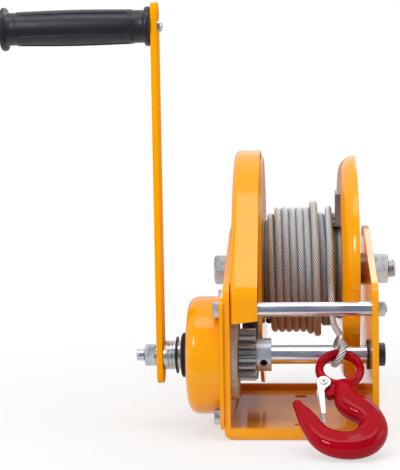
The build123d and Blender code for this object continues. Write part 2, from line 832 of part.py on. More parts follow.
boss_x = -plate_in + boss_t
ring("shaft_bush_left", shaft_axis, -plate_out, boss_x, shaft_bush_r, shaft_r + running)
turned(
    "shaft_bush_right",
    shaft_axis,
    [
        (plate_out, shaft_r + running),
        (plate_out, shaft_bush_r),
        (plate_in, shaft_bush_r),
        (plate_in, shaft_bush_flange_r),
        (plate_in - shaft_bush_flange_t, shaft_bush_flange_r),
        (plate_in - shaft_bush_flange_t, shaft_r + running),
    ],
)

# Bearing boss: a disc welded inside the left plate, cut flat below the guard
with BuildPart() as bearing_boss:
    with BuildSketch(cross_plane(-plate_in, shaft_axis)):
        Circle(boss_r)
        with Locations((0, guard_front_z - boss_top_gap - shaft_z)):
            Rectangle(2 * boss_r, boss_r, align=(Align.CENTER, Align.MIN), mode=Mode.SUBTRACT)
        Circle(shaft_bush_r + slip, mode=Mode.SUBTRACT)
    extrude(amount=boss_t)
save(bearing_boss, "bearing_boss")

pinion_x = boss_x + run_gap
with BuildPart() as pinion:
    with BuildSketch(cross_plane(pinion_x, shaft_axis)):
        with BuildLine():
            gear_outline(pinion_teeth, mesh_angle + 180)
        make_face()
        Circle(shaft_r + slip, mode=Mode.SUBTRACT)
    extrude(amount=pinion_width)
save(pinion, "pinion")

# Collar with its set screw, and the retainer on the shaft's right end
collar_x = pinion_x + pinion_width + run_gap
screw_heading = (0, cos(radians(set_screw_angle)), sin(radians(set_screw_angle)))
screw_plane = Plane(
    origin=(collar_x + collar_width / 2, *shaft_axis), x_dir=(1, 0, 0), z_dir=screw_heading
)
with BuildPart() as shaft_collar:
    with BuildSketch(cross_plane(collar_x, shaft_axis)):
        Circle(collar_r)
        Circle(shaft_r + slip, mode=Mode.SUBTRACT)
    extrude(amount=collar_width)
    with BuildSketch(screw_plane):
        Circle(set_screw_r + slip)
    extrude(amount=collar_r, mode=Mode.SUBTRACT)
save(shaft_collar, "shaft_collar")

with BuildPart() as set_screw:
    with BuildSketch(screw_plane.offset(shaft_r + slip)):
        Circle(set_screw_r)
    extrude(amount=collar_r - shaft_r - slip - set_screw_depth)
    with BuildSketch(screw_plane.offset(collar_r)):
        hexagon(set_screw_r)
    extrude(amount=-set_screw_r, mode=Mode.SUBTRACT)
save(set_screw, "set_screw")

turned(
    "shaft_retainer",
    shaft_axis,
    [
        (retainer_x, shaft_r + slip),
        (retainer_x, retainer_r),
        (retainer_x + retainer_length, retainer_r),
        (retainer_x + retainer_length, 0),
        (shaft_right, 0),
        (shaft_right, shaft_r + slip),
    ],
    {2: retainer_edge_r},
)

# Load brake: plate, friction disc, ratchet wheel, friction disc, crank hub
thread_bore_r = brake_thread_r + slip
ring("brake_plate", shaft_axis, friction_in_x, brake_plate_x, brake_plate_r, thread_bore_r)
ring("friction_disc_inner", shaft_axis, ratchet_x, friction_in_x, friction_r, thread_bore_r)
ring("friction_disc_outer", shaft_axis, hub_flange_x, friction_out_x, friction_r, thread_bore_r)

tooth_step = 2 * pi / ratchet_teeth
with BuildPart() as ratchet_wheel:
    with BuildSketch(cross_plane(friction_out_x, shaft_axis)):
        with BuildLine():
            saw = []
            for tooth in range(ratchet_teeth):
                angle = tooth * tooth_step
                saw.append((ratchet_tip_r * cos(angle), ratchet_tip_r * sin(angle)))
                saw.append((ratchet_root_r * cos(angle), ratchet_root_r * sin(angle)))
            Polyline(*saw, close=True)
        make_face()
        Circle(thread_bore_r, mode=Mode.SUBTRACT)
    extrude(amount=ratchet_t)
save(ratchet_wheel, "ratchet_wheel")

turned(
    "crank_hub",
    shaft_axis,
    [
        (hub_flange_x, thread_bore_r),
        (hub_flange_x, hub_flange_r),
        (hub_sleeve_x, hub_flange_r),
        (hub_sleeve_x, hub_sleeve_r),
        (hub_end_x, hub_sleeve_r),
        (hub_end_x, thread_bore_r),
    ],
)

# Pawl on its pin, with its spring beside it
pawl_angle = radians(pawl_pin_angle)
pawl_axis = (shaft_y + pawl_pin_pcr * cos(pawl_angle), shaft_z + pawl_pin_pcr * sin(pawl_angle))
pawl_x = friction_out_x + pawl_side_gap
pawl_t = ratchet_t - 2 * pawl_side_gap
tip_angle = radians(pawl_tip_angle)
tip_r = ratchet_tip_r + pawl_gap + pawl_width / 2
tip_place = (shaft_y + tip_r * cos(tip_angle) - pawl_axis[0], shaft_z + tip_r * sin(tip_angle) - pawl_axis[1])
pawl_length = sqrt(tip_place[0] ** 2 + tip_place[1] ** 2)
pawl_slope = degrees(atan2(tip_place[1], tip_place[0]))
with BuildPart() as pawl:
    with BuildSketch(cross_plane(pawl_x, pawl_axis)):
        with Locations((tip_place[0] / 2, tip_place[1] / 2)):
            SlotCenterToCenter(pawl_length, pawl_width, rotation=pawl_slope)
        Circle(pawl_eye_r)
        Circle(pawl_pin_r + running, mode=Mode.SUBTRACT)
    extrude(amount=pawl_t)
save(pawl, "pawl")

pawl_pin_end_x = pawl_x - pawl_side_gap - pawl_pin_head_h
turned(
    "pawl_pin",
    pawl_axis,
    [
        (-plate_in, 0),
        (-plate_in, pawl_pin_r),
        (pawl_x - pawl_side_gap, pawl_pin_r),
        (pawl_x - pawl_side_gap, pawl_pin_head_r),
        (pawl_pin_end_x, pawl_pin_head_r),
        (pawl_pin_end_x, 0),
    ],
)
pawl_spring_x = pawl_x + pawl_t + pawl_side_gap
ring("pawl_spring", pawl_axis, pawl_spring_x, pawl_spring_x + pawl_spring_length, pawl_spring_r, pawl_pin_r + slip)

# Crank: dust ring, washer, spacer, arm, washer and nut on the shaft's left end
ring("dust_ring", shaft_axis, dust_ring_x - dust_ring_length, dust_ring_x, dust_ring_r, hub_sleeve_r + slip)
ring("thin_washer", shaft_axis, spacer_x, hub_end_x, thin_washer_r, thread_bore_r)
ring("crank_spacer", shaft_axis, arm_x, spacer_x, spacer_r, thread_bore_r)

arm_length = arm_hub_end + crank_radius + arm_grip_end
with BuildPart() as crank_arm:
    with BuildSketch(cross_plane(arm_out_x, shaft_axis)) as arm_outline:
        with Locations((0, -arm_hub_end)):
            Rectangle(arm_width, arm_length, align=(Align.CENTER, Align.MIN))
        fillet(arm_outline.vertices(), arm_corner_r)
        Circle(stud_r + slip, mode=Mode.SUBTRACT)
        with Locations((0, crank_radius)):
            Circle(grip_bolt_r + slip, mode=Mode.SUBTRACT)
    extrude(amount=arm_t)
save(crank_arm, "crank_arm")

ring("crank_washer", shaft_axis, crank_nut_x, arm_out_x, crank_washer_r, stud_r + slip)
hex_nut("crank_nut", shaft_axis, crank_nut_x - crank_nut_h, crank_nut_x, crank_nut_hex, stud_r + slip)

# Grip bolt, riveted in the arm, and the grip that turns on it
bolt_head_x = grip_left_x + grip_bolt_recess
turned(
    "grip_bolt",
    grip_axis,
    [
        (arm_x + grip_rivet_h, 0),
        (arm_x + grip_rivet_h, grip_rivet_r),
        (arm_x, grip_rivet_r),
        (arm_x, grip_bolt_r),
        (bolt_head_x + grip_bolt_head_h, grip_bolt_r),
        (bolt_head_x + grip_bolt_head_h, grip_bolt_head_r),
        (bolt_head_x, grip_bolt_head_r),
        (bolt_head_x, 0),
    ],
    {1: grip_rivet_edge_r},
)

grip_neck_in_x = grip_right_x - grip_inner_flange_t
grip_body_in_x = grip_neck_in_x - grip_inner_neck
grip_neck_out_x = grip_left_x + grip_outer_flange_t
grip_body_out_x = grip_neck_out_x + grip_outer_neck
recess_floor_x = bolt_head_x + grip_bolt_head_h + run_gap
recess_r = grip_bolt_head_r + run_gap
flute_pcr = grip_body_mid_r + grip_flute_r - grip_flute_depth
with BuildPart() as grip:
    with BuildSketch(Plane(origin=(0, *grip_axis), x_dir=(1, 0, 0), z_dir=(0, -1, 0))) as grip_section:
        with BuildLine():
            Polyline(
                (grip_body_in_x, grip_body_end_r),
                (grip_body_in_x, grip_neck_r),
                (grip_neck_in_x, grip_neck_r),
                (grip_neck_in_x, grip_inner_flange_r),
                (grip_right_x, grip_inner_flange_r),
                (grip_right_x, grip_bolt_r + running),
                (recess_floor_x, grip_bolt_r + running),
                (recess_floor_x, recess_r),
                (grip_left_x, recess_r),
                (grip_left_x, grip_outer_flange_r),
                (grip_neck_out_x, grip_outer_flange_r),
                (grip_neck_out_x, grip_neck_r),
                (grip_body_out_x, grip_neck_r),
                (grip_body_out_x, grip_body_end_r),
            )
            ThreePointArc(
                (grip_body_out_x, grip_body_end_r),
                ((grip_body_out_x + grip_body_in_x) / 2, grip_body_mid_r),
                (grip_body_in_x, grip_body_end_r),
            )
        make_face()
        for corner in (
            (grip_neck_in_x, grip_inner_flange_r),
            (grip_right_x, grip_inner_flange_r),
            (grip_left_x, grip_outer_flange_r),
            (grip_neck_out_x, grip_outer_flange_r),
        ):
            fillet(grip_section.vertices().sort_by_distance(corner)[0], grip_flange_edge_r)
    revolve(axis=Axis((0, *grip_axis), (1, 0, 0)))
    with BuildSketch(cross_plane(grip_body_out_x + grip_flute_margin, grip_axis)):
        with PolarLocations(flute_pcr, grip_flutes):
            Circle(grip_flute_r)
    extrude(amount=grip_body_in_x - grip_body_out_x - 2 * grip_flute_margin, mode=Mode.SUBTRACT)
save(grip, "grip")

# Hook: an oval ring for the eye, a body lofted along its bend, and a lug for the latch
lean = radians(hook_lean)
hook_eye = Vector(hook_eye_x, hook_eye_y, hook_eye_z)
hook_up = Vector(0, sin(lean), cos(lean))
hook_face = Vector(0, -cos(lean), sin(lean))
hook_plane = Plane(origin=hook_eye, x_dir=(1, 0, 0), z_dir=hook_face)
eye_middle_r = hook_eye_hole_r + hook_eye_width / 2


def hook_place(across, along, out=0):
    return hook_plane.from_local_coords((across, along, out))


def station_plane(across, along, heading):
    way = radians(heading)
    forward = hook_place(cos(way), sin(way)) - hook_eye
    sideways = hook_place(-sin(way), cos(way)) - hook_eye
    return Plane(origin=hook_place(across, along), x_dir=sideways, z_dir=forward)


with BuildPart() as hook:
    for across, along, heading, half_width, half_depth in hook_stations:
        with BuildSketch(station_plane(across, along, heading)):
            RectangleRounded(2 * half_width, 2 * half_depth, hook_round_share * half_depth)
    loft()
    with BuildSketch(Plane(origin=hook_eye, x_dir=(1, 0, 0), z_dir=hook_up * -1)):
        with Locations((eye_middle_r, 0)):
            Ellipse(hook_eye_width / 2, hook_eye_depth / 2)
    revolve(axis=Axis(hook_eye, hook_face))
    with Locations(Location(hook_place(*hook_stations[-1][:2]))):
        Sphere(hook_tip_r)
    with BuildSketch(hook_plane):
        with Locations(latch_pivot):
            Circle(hook_lug_r)
        with BuildLine():
            Polyline(
                (latch_pivot[0], latch_pivot[1] + hook_lug_r),
                (0, latch_pivot[1] + hook_lug_r),
                (0, hook_stations[1][1]),
                (latch_pivot[0] + hook_lug_r, hook_stations[1][1] - hook_lug_r),
                (latch_pivot[0] - hook_lug_r * sin(pi / 4), latch_pivot[1] - hook_lug_r * sin(pi / 4)),
                close=True,
            )
        make_face()
    extrude(amount=hook_lug_t / 2, both=True)
    with BuildSketch(hook_plane):
        with Locations(latch_pivot):
            Circle(latch_pin_r + slip)
    extrude(amount=hook_eye_depth, both=True, mode=Mode.SUBTRACT)
save(hook, "hook")

# Latch: two cheeks joined along the outer edge, on a pin through the hook's lug
cheek_in = hook_lug_t / 2 + latch_spring_t + 2 * latch_gap
cheek_out = cheek_in + latch_t
latch_line = Vector(*latch_tip) - Vector(*latch_pivot)
latch_length = latch_line.length
latch_plane = Plane(
    origin=hook_place(*latch_pivot),
    x_dir=hook_place(latch_line.X / latch_length, latch_line.Y / latch_length) - hook_eye,
    z_dir=hook_face,
)
web_slope = (latch_head_r - latch_tip_width / 2) / latch_length
web_start_y = latch_head_r - web_slope * latch_web_start
with BuildPart() as latch:
    with BuildSketch(latch_plane.offset(cheek_in)) as cheek:
        with BuildLine():
            Polyline(
                (0, latch_head_r),
                (latch_web_start, latch_waist),
                (latch_length, latch_tip_width / 2),
                (latch_length, -latch_tip_width / 2),
                (0, -latch_head_r),
                close=True,
            )
        make_face()
        Circle(latch_head_r)
        Circle(latch_pin_r + running, mode=Mode.SUBTRACT)
    extrude(amount=latch_t)
    mirror(about=latch_plane)
    with BuildSketch(latch_plane):
        with BuildLine():
            Polyline(
                (latch_web_start, -web_start_y),
                (latch_length, -latch_tip_width / 2),
                (latch_length, -latch_tip_width / 2 + latch_t),
                (latch_web_start, -web_start_y + latch_t),
                close=True,
            )
        make_face()
    extrude(amount=cheek_out, both=True)
save(latch, "latch")

pin_head_face = cheek_out + latch_head_gap
with BuildPart() as latch_pin:
    with BuildSketch(latch_plane.offset(-pin_head_face)):
        Circle(latch_pin_r)
    extrude(amount=2 * pin_head_face)
    with BuildSketch(latch_plane.offset(pin_head_face), latch_plane.offset(-pin_head_face - latch_pin_head_h)):
        Circle(latch_pin_head_r)
    extrude(amount=latch_pin_head_h)
save(latch_pin, "latch_pin")

with BuildPart() as latch_spring:
    with BuildSketch(latch_plane.offset(hook_lug_t / 2 + latch_gap)):
        Circle(latch_spring_r)
        Circle(latch_pin_r + slip, mode=Mode.SUBTRACT)
    extrude(amount=latch_spring_t)
save(latch_spring, "latch_spring")

# Rope tail: straight runs joined by arcs, round the drum's rear and top and down to the ferrule
route = [Vector(*point) for point in tail_route]
tail_radii = []
for before, corner, after in zip(route, route[1:], route[2:]):
    way_in = (corner - before).normalized()
    way_out = (after - corner).normalized()
    shorter = min((corner - before).length, (after - corner).length)
    tail_radii.append(tail_arc_share * shorter / tan(acos(way_in.dot(way_out)) / 2))
print("tail: bend radii", [round(radius, 1) for radius in tail_radii])
with BuildPart() as rope_tail:
    with BuildLine() as tail_path:
        FilletPolyline(*route, radius=tail_radii)
    with BuildSketch(Plane(origin=route[0], z_dir=route[1] - route[0])):
        Circle(rope_r)
    sweep()
save(rope_tail, "rope_tail")
tail_length = tail_path.wire().length
print(f"tail: length {tail_length:.1f}")
print(f"tail: volume {rope_tail.part.volume:.0f}, section by length {pi * rope_r**2 * tail_length:.0f}")

# Ferrule on the tail's end, and the rope's eye from it round the hook's ring
ring_top = hook_eye + hook_up * eye_middle_r
eye_way = (route[-1] - ring_top).normalized()
eye_reach = (route[-1] - ring_top).length - ferrule_length
eye_side = Vector(1, 0, 0).cross(eye_way).normalized()
eye_across = eye_way.cross(eye_side)
twist = radians(rope_eye_twist)
eye_normal = eye_across * cos(twist) + eye_side * sin(twist)
eye_plane = Plane(origin=ring_top, x_dir=eye_way, z_dir=eye_normal)
ferrule_plane = Plane(origin=route[-1], x_dir=eye_plane.y_dir, z_dir=eye_way * -1)
with BuildPart() as ferrule:
    with BuildSketch(ferrule_plane):
        SlotOverall(ferrule_width, ferrule_height)
    extrude(amount=ferrule_length)
    fillet(ferrule.faces().sort_by(Axis(route[-1], eye_way))[-1].edges(), ferrule_edge_r)
save(ferrule, "ferrule")

eye_bend_r = hook_eye_depth / 2 / cos(twist) + rope_r + 2 * seat_gap
strand_y = rope_r + seat_gap / 2
lead = radians(rope_eye_lead)


def eye_place(along, across):
    return eye_plane.from_local_coords((along, across))


def eye_bend(angle):
    return eye_place(eye_bend_r * cos(angle), eye_bend_r * sin(angle))


bend_heading = eye_place(-sin(lead), cos(lead)) - ring_top
return_heading = eye_place(sin(lead), cos(lead)) - ring_top
lead_x = eye_reach - rope_eye_run
with BuildPart() as rope_eye:
    with BuildLine() as eye_path:
        Line(eye_place(eye_reach, strand_y), eye_place(lead_x, strand_y))
        biarc(eye_place(lead_x, strand_y), eye_way * -1, eye_bend(lead), bend_heading)
        ThreePointArc(eye_bend(lead), eye_bend(pi), eye_bend(-lead))
        biarc(eye_bend(-lead), return_heading, eye_place(lead_x, -strand_y), eye_way)
        Line(eye_place(lead_x, -strand_y), eye_place(eye_reach, -strand_y))
    with BuildSketch(Plane(origin=eye_place(eye_reach, strand_y), z_dir=eye_way * -1)):
        Circle(rope_r)
    sweep()
save(rope_eye, "rope_eye")
print(f"rope eye: length {eye_path.wire().length:.1f}")
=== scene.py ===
import json
import math
import bmesh
import bpy
from mathutils import Matrix, Vector


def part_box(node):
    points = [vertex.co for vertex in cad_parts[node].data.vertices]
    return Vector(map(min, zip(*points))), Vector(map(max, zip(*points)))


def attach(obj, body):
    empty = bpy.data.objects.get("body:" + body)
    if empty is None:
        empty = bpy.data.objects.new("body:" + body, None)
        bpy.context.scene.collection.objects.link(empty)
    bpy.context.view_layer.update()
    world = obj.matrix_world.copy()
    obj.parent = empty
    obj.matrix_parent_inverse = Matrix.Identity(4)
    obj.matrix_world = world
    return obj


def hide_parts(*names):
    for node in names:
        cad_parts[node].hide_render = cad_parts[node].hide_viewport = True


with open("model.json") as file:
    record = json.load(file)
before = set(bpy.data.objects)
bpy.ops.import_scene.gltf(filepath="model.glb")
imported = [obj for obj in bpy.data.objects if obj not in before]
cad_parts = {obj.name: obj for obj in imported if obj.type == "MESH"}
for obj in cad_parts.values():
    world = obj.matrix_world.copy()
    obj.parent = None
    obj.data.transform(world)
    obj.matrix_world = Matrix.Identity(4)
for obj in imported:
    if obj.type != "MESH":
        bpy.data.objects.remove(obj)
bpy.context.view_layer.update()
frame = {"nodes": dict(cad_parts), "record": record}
nodes = frame["nodes"]
record = frame["record"]
slot_of = {part["node"]: part["material_slot"] for part in record["subparts"]}
body_of = {node: body for body, members in record["behaviour"]["bodies"].items() for node in members}
scene = bpy.context.scene
scene.view_settings.view_transform = "Standard"
MM = 0.001

# Edges sharper than CREASE degrees stay sharp, and points closer than WELD are one
CREASE = 35
SOFT_CREASE = 50
WELD = 1e-7

# Camera, from the photograph's frame of 400 by 470 pixels
IMAGE_HEIGHT = 470
CAMERA_PLACE = Vector((-0.00165, -1.04651, 0.24625))
CAMERA_YAW = math.radians(4.469)
CAMERA_PITCH = math.radians(-4.996)
CAMERA_ROLL = math.radians(-0.977)
FOCAL_PIXELS = 1252.0
SENSOR = 36.0

# Rope, as it is wound on the drum
ROPE_D = 5.5 * MM
ROPE_R = ROPE_D / 2
ROPE_SWELL = 1.12
ROPE_LAY = 22 * MM
ROPE_PITCH = 6.2 * MM
ROPE_SIDE_GAP = 0.5 * MM
ROPE_OUTER_R = 55.0 * MM
ROPE_RISE = 5.4 * MM
ROPE_TURNS = 9.5
ROPE_CLIMB = (0.5, 1.0)
ROPE_RAISE = (5.75, 6.25)
ROPE_DROP = (6.75, 7.5)
ROPE_ANCHOR = math.radians(105)
STEPS_PER_TURN = 220
CORE_SAMPLES = 220
# The inner turns' crown share, low so that their colour is painted darker, as shade under the outer layer
CORE_CROWN_SHADE = 0.2

# Lay of a rope: its strands, the corners of each, and the share of the radius left in the grooves
WOUND_LAY = (8, 6, 0.9)
EYE_LAY = (6, 8, 0.8)

# Rope tail's route: round the drum's rear and top, then down to the ferrule
TAIL_ROUTE = [
    (25.4, 73.9, 66.9),
    (25.4, 98.6, 82.0),
    (25.4, 109.2, 109.0),
    (25.4, 106.7, 137.3),
    (25.4, 90.4, 160.6),
    (25.4, 64.6, 172.6),
    (25.4, 36.3, 170.1),
    (25.4, 13.0, 153.8),
    (25.4, 1.0, 128.0),
    (25.6, 2.4, 110.6),
    (26.2, 0.9, 100.6),
    (26.9, -3.6, 91.05),
    (27.2, -10.6, 83.6),
    (28.2, -19.6, 79.0),
    (30.6, -29.5, 76.9),
    (31.71, -39.63, 75.67),
    (31.2, -48.6, 72.6),
]

# Hook's ring, which the rope's eye goes round, and the ferrule
HOOK_EYE = Vector((30.0, -82.0, 55.7)) * MM
HOOK_LEAN = math.radians(52)
RING_MIDDLE_R = 15.8 * MM
RING_DEPTH = 9.6 * MM
EYE_TWIST = math.radians(-28)
EYE_LEAD = math.radians(70)
EYE_RUN = 1.5 * MM
EYE_STEPS = 8
FERRULE_LENGTH = 8.5 * MM
FERRULE_WIDTH = 12.4 * MM
FERRULE_HEIGHT = 8.4 * MM
FERRULE_SIDES = 48
FERRULE_RINGS = 29
FERRULE_OVAL = 0.8
FERRULE_END_SHARE = 0.12
FERRULE_END_DROP = 0.16
FERRULE_DENT = 0.07
FERRULE_DENT_POWER = 6
SEAT_GAP = 0.3 * MM

# Latch: its pivot and tip in the hook's plane, across and along, and its sizes
LATCH_PIVOT = (-12.8 * MM, -17.3 * MM)
LATCH_TIP = (-13.0 * MM, -48.5 * MM)
LATCH_HEAD_R = 5.5 * MM
LATCH_TIP_HALF = 2.3 * MM
LATCH_SHEET = 1.2 * MM
LATCH_HEAD_GAP = 0.3 * MM
LATCH_WEB_START = 9 * MM
LATCH_WEB_END_GAP = 0.7 * MM
LATCH_WEB_STEPS = 8
LATCH_WEB_INSET = 0.25 * MM
LATCH_WEB_SINK = 0.05 * MM
LATCH_EDGE = 0.3 * MM
LATCH_HEAD_STEP = 10
LATCH_HEAD_STEPS = 24
LATCH_WAIST_BEND = Vector((6.9, 0.3)) * MM
LATCH_WAIST = Vector((9.5, 0.4)) * MM
LATCH_INNER_EDGE = [Vector((16.0, 0.7)) * MM, Vector((23.0, 1.0)) * MM]
LATCH_INNER_Y = 1.2 * MM
LATCH_INNER_ROUND = 1.6 * MM
LATCH_OUTER_ROUND = 0.6 * MM
LATCH_TIP_FLAT = (-0.3 * MM, -1.7 * MM)
LATCH_OUTER_EDGE = [24 * MM, 18 * MM, 12 * MM, 6 * MM]
LATCH_HOLE_STEPS = 32
LATCH_HOLE_PLAY = 0.05 * MM
RIVET_HEAD_R = 3.2 * MM
RIVET_HEAD_H = 1.0 * MM
RIVET_SHANK_R = 2.0 * MM
RIVET_COUNT = 48

# Rivet's rolled head: how far below its top, and the radius there, in mm
RIVET_ROLL = [(0.7, 0.8), (0.1, 1.3), (0.0, 1.7), (0.2, 2.5), (0.6, 3.2)]

# Fasteners
CHAMFER_SHARE = 0.94
CHAMFER_SLOPE = math.tan(math.radians(30))
THREAD_SAMPLES = 8
THREAD_DEPTH = 0.55
THREAD_CHAMFER = 0.6
AXLE_ACROSS = 24 * MM
AXLE_R = 8 * MM
AXLE_WASHER = 3 * MM
SMALL_ACROSS = 11.5 * MM
SMALL_R = 3.5 * MM
SMALL_PITCH = 1.25 * MM
SMALL_HEAD = 5.3 * MM
CLAMP_HEAD = 3.5 * MM
HOUSING_HALF_Y = 36.5 * MM
HOUSING_HALF_Z = 42.5 * MM

# Shaft, and the stud that the crank's nut is on
SHAFT_R = 7.5 * MM
SHAFT_END_R = 6.6 * MM
SHAFT_CHAMFER = 0.9 * MM
HUB_R = 7 * MM
STUD_R = 5 * MM
STUD_PITCH = 1.5 * MM

# Dust ring's outline: how far from its left end, and the radius there, in mm
DUST_BORE = 11.2
DUST_LIP = [
    (0.0, DUST_BORE), (0.0, 15.4), (0.6, 17.2), (1.6, 18.2), (2.2, 18.0),
    (2.6, 17.6), (3.0, 18.2), (3.6, 19.1), (4.4, 19.4),
]
DUST_RIM = [(0.5, 19.4), (0.0, 18.9), (0.0, DUST_BORE)]

# Grip's ends: how far from its left or right end, and the radius there, in mm
GRIP_LEFT_END = [
    (7.3, 4.2), (7.3, 7.8), (0.5, 7.8), (0.0, 8.3), (0.0, 15.6),
    (0.4, 16.7), (1.4, 17.3), (2.9, 17.3), (3.9, 16.8), (4.3, 15.6),
    (4.4, 14.2), (4.8, 13.4), (5.6, 13.0), (11.6, 13.0), (12.4, 13.2),
]
GRIP_RIGHT_END = [
    (13.9, 13.2), (13.1, 13.0), (6.4, 13.0), (5.6, 13.3), (5.1, 14.0), (5.0, 14.6),
    (4.5, 15.4), (3.6, 15.7), (1.3, 15.7), (0.4, 15.4), (0.0, 14.6), (0.0, 4.2),
]
GRIP_BODY_LEFT = 13 * MM
GRIP_BODY_RIGHT = 14.5 * MM
GRIP_BODY_R = 13.6
GRIP_SWELL = 0.8
GRIP_SAMPLES = 48
GRIP_COUNT = 288
FLUTES = 6
FLUTE_DEPTH = 1.3 * MM
FLUTE_TURN = math.radians(10.75)
FLUTE_HALF = 0.25
FLUTE_WAIST = 0.05
FLUTE_SIDE = 0.06
FLUTE_END = 0.04

# Grip's bolt: its ends' outlines, how far from the end and the radius there, in mm
BOLT_DOME = [(0.0, 0.0), (0.1, 1.6), (0.5, 3.2), (1.5, 4.5), (2.6, 5.0)]
BOLT_SHANK = [5.0, 4.0]
BOLT_HEAD = [(4.0, 4.0), (4.0, 7.5), (0.8, 7.5), (0.0, 6.6), (0.0, 3.0), (1.4, 2.4), (1.4, 0.0)]

# Studio, in metres
FLOOR_HALF = 12.0
FLOOR_SHADOW = (0.16, 0.45)
CARD_HALF = 2.2
CARD_AWAY = 1.7
CARD_GAP = 0.004
CARD_TOP = 1.5


def axis_of(node):
    """The (y, z) of a turned node's axis along X."""
    low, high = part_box(node)
    return (low.y + high.y) / 2, (low.z + high.z) / 2


def ends_of(node):
    """Where a node starts and ends along X."""
    low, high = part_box(node)
    return low.x, high.x


drum_y, drum_z = axis_of("drum_barrel")


# Materials

def srgb(red, green, blue):
    """A colour from its 0 to 255 screen values."""
    shares = [value / 255 for value in (red, green, blue)]
    linear = [s / 12.92 if s <= 0.04045 else ((s + 0.055) / 1.055) ** 2.4 for s in shares]
    return (*linear, 1.0)


def new_material(name, **values):
    made = bpy.data.materials.new(name)
    made.use_nodes = True
    shader = made.node_tree.nodes["Principled BSDF"]
    for socket, value in values.items():
        shader.inputs[socket.replace("_", " ")].default_value = value
    return made, made.node_tree, shader


def place(tree):
    """Object coordinates, in metres."""
    return tree.nodes.new("ShaderNodeTexCoord").outputs["Object"]


def noise(tree, vector, scale, detail=3.0):
    texture = tree.nodes.new("ShaderNodeTexNoise")
    texture.inputs["Scale"].default_value = scale
    texture.inputs["Detail"].default_value = detail
    tree.links.new(vector, texture.inputs["Vector"])
    return texture.outputs["Fac"]


def ramp(tree, factor, colours, target):
    """Colours at places from 0 to 1 along a factor, into a target socket."""
    node = tree.nodes.new("ShaderNodeValToRGB")
    stops = node.color_ramp.elements
    while len(stops) < len(colours):
        stops.new(0.5)
    for stop, (position, colour) in zip(stops, colours):
        stop.position = position
        stop.color = colour
    tree.links.new(factor, node.inputs["Fac"])
    tree.links.new(node.outputs["Color"], target)


def span(tree, factor, low, high, target, start=0.3, end=0.7):
    """A factor's range from start to end, mapped to low and high, into a target socket."""
    node = tree.nodes.new("ShaderNodeMapRange")
    for socket, value in (("From Min", start), ("From Max", end), ("To Min", low), ("To Max", high)):
        node.inputs[socket].default_value = value
    tree.links.new(factor, node.inputs["Value"])
    tree.links.new(node.outputs["Result"], target)


def bump(tree, shader, height, distance, strength, rounded=0.0):
    """Relief from a height, and edges that shade as if rounded by a radius."""
    node = tree.nodes.new("ShaderNodeBump")
    node.inputs["Strength"].default_value = strength
    node.inputs["Distance"].default_value = distance
    tree.links.new(height, node.inputs["Height"])
    if rounded:
        edge = tree.nodes.new("ShaderNodeBevel")
        edge.samples = 4
        edge.inputs["Radius"].default_value = rounded
        tree.links.new(edge.outputs["Normal"], node.inputs["Normal"])
    tree.links.new(node.outputs["Normal"], shader.inputs["Normal"])


def enamel(name, light, deep, coat, gloss):
    """Gloss paint with slight orange peel and a little unevenness of colour."""
    made, tree, shader = new_material(name, Coat_Weight=coat, Coat_Roughness=0.05, Specular_IOR_Level=gloss)
    where = place(tree)
    patches = noise(tree, where, scale=14)
    sheen = noise(tree, where, scale=60)
    peel = noise(tree, where, scale=420, detail=2)
    ramp(tree, patches, [(0.3, deep), (0.7, light)], shader.inputs["Base Color"])
    span(tree, sheen, 0.12, 0.2, shader.inputs["Roughness"])
    bump(tree, shader, peel, distance=0.03 * MM, strength=0.5, rounded=0.7 * MM)
    return made


def cast(name, light, deep, rough, relief):
    """Rough casting under a thin, dirty coat of paint."""
    made, tree, shader = new_material(name, IOR=1.5)
    where = place(tree)
    dirt = noise(tree, where, scale=240, detail=6)
    sheen = noise(tree, where, scale=260)
    grit = noise(tree, where, scale=620, detail=5)
    ramp(tree, dirt, [(0.3, deep), (0.6, light)], shader.inputs["Base Color"])
    span(tree, sheen, rough - 0.1, rough + 0.1, shader.inputs["Roughness"])
    bump(tree, shader, grit, distance=relief * MM, strength=0.8, rounded=0.8 * MM)
    return made


def plated(name, light, deep, rough, scale=90, relief=0.02, rounded=0.3, bare=1.0):
    """Metal with a mottled plate, less bare where its plate is dull."""
    made, tree, shader = new_material(name, Metallic=bare)
    where = place(tree)
    mottle = noise(tree, where, scale)
    sheen = noise(tree, where, 2 * scale)
    grain = noise(tree, where, 8 * scale, detail=2)
    ramp(tree, mottle, [(0.3, deep), (0.7, light)], shader.inputs["Base Color"])
    span(tree, sheen, rough - 0.07, rough + 0.09, shader.inputs["Roughness"])
    bump(tree, shader, grain, distance=relief * MM, strength=0.6, rounded=rounded * MM)
    return made


def moulded(name, light, deep, rough, relief):
    """Plastic, rubber or friction lining with a fine moulded grain."""
    made, tree, shader = new_material(name, IOR=1.48)
    where = place(tree)
    patches = noise(tree, where, scale=40)
    sheen = noise(tree, where, scale=120)
    grain = noise(tree, where, scale=1500, detail=2)
    ramp(tree, patches, [(0.3, deep), (0.7, light)], shader.inputs["Base Color"])
    span(tree, sheen, rough - 0.06, rough + 0.08, shader.inputs["Roughness"])
    bump(tree, shader, grain, distance=relief * MM, strength=0.5, rounded=0.4 * MM)
    return made


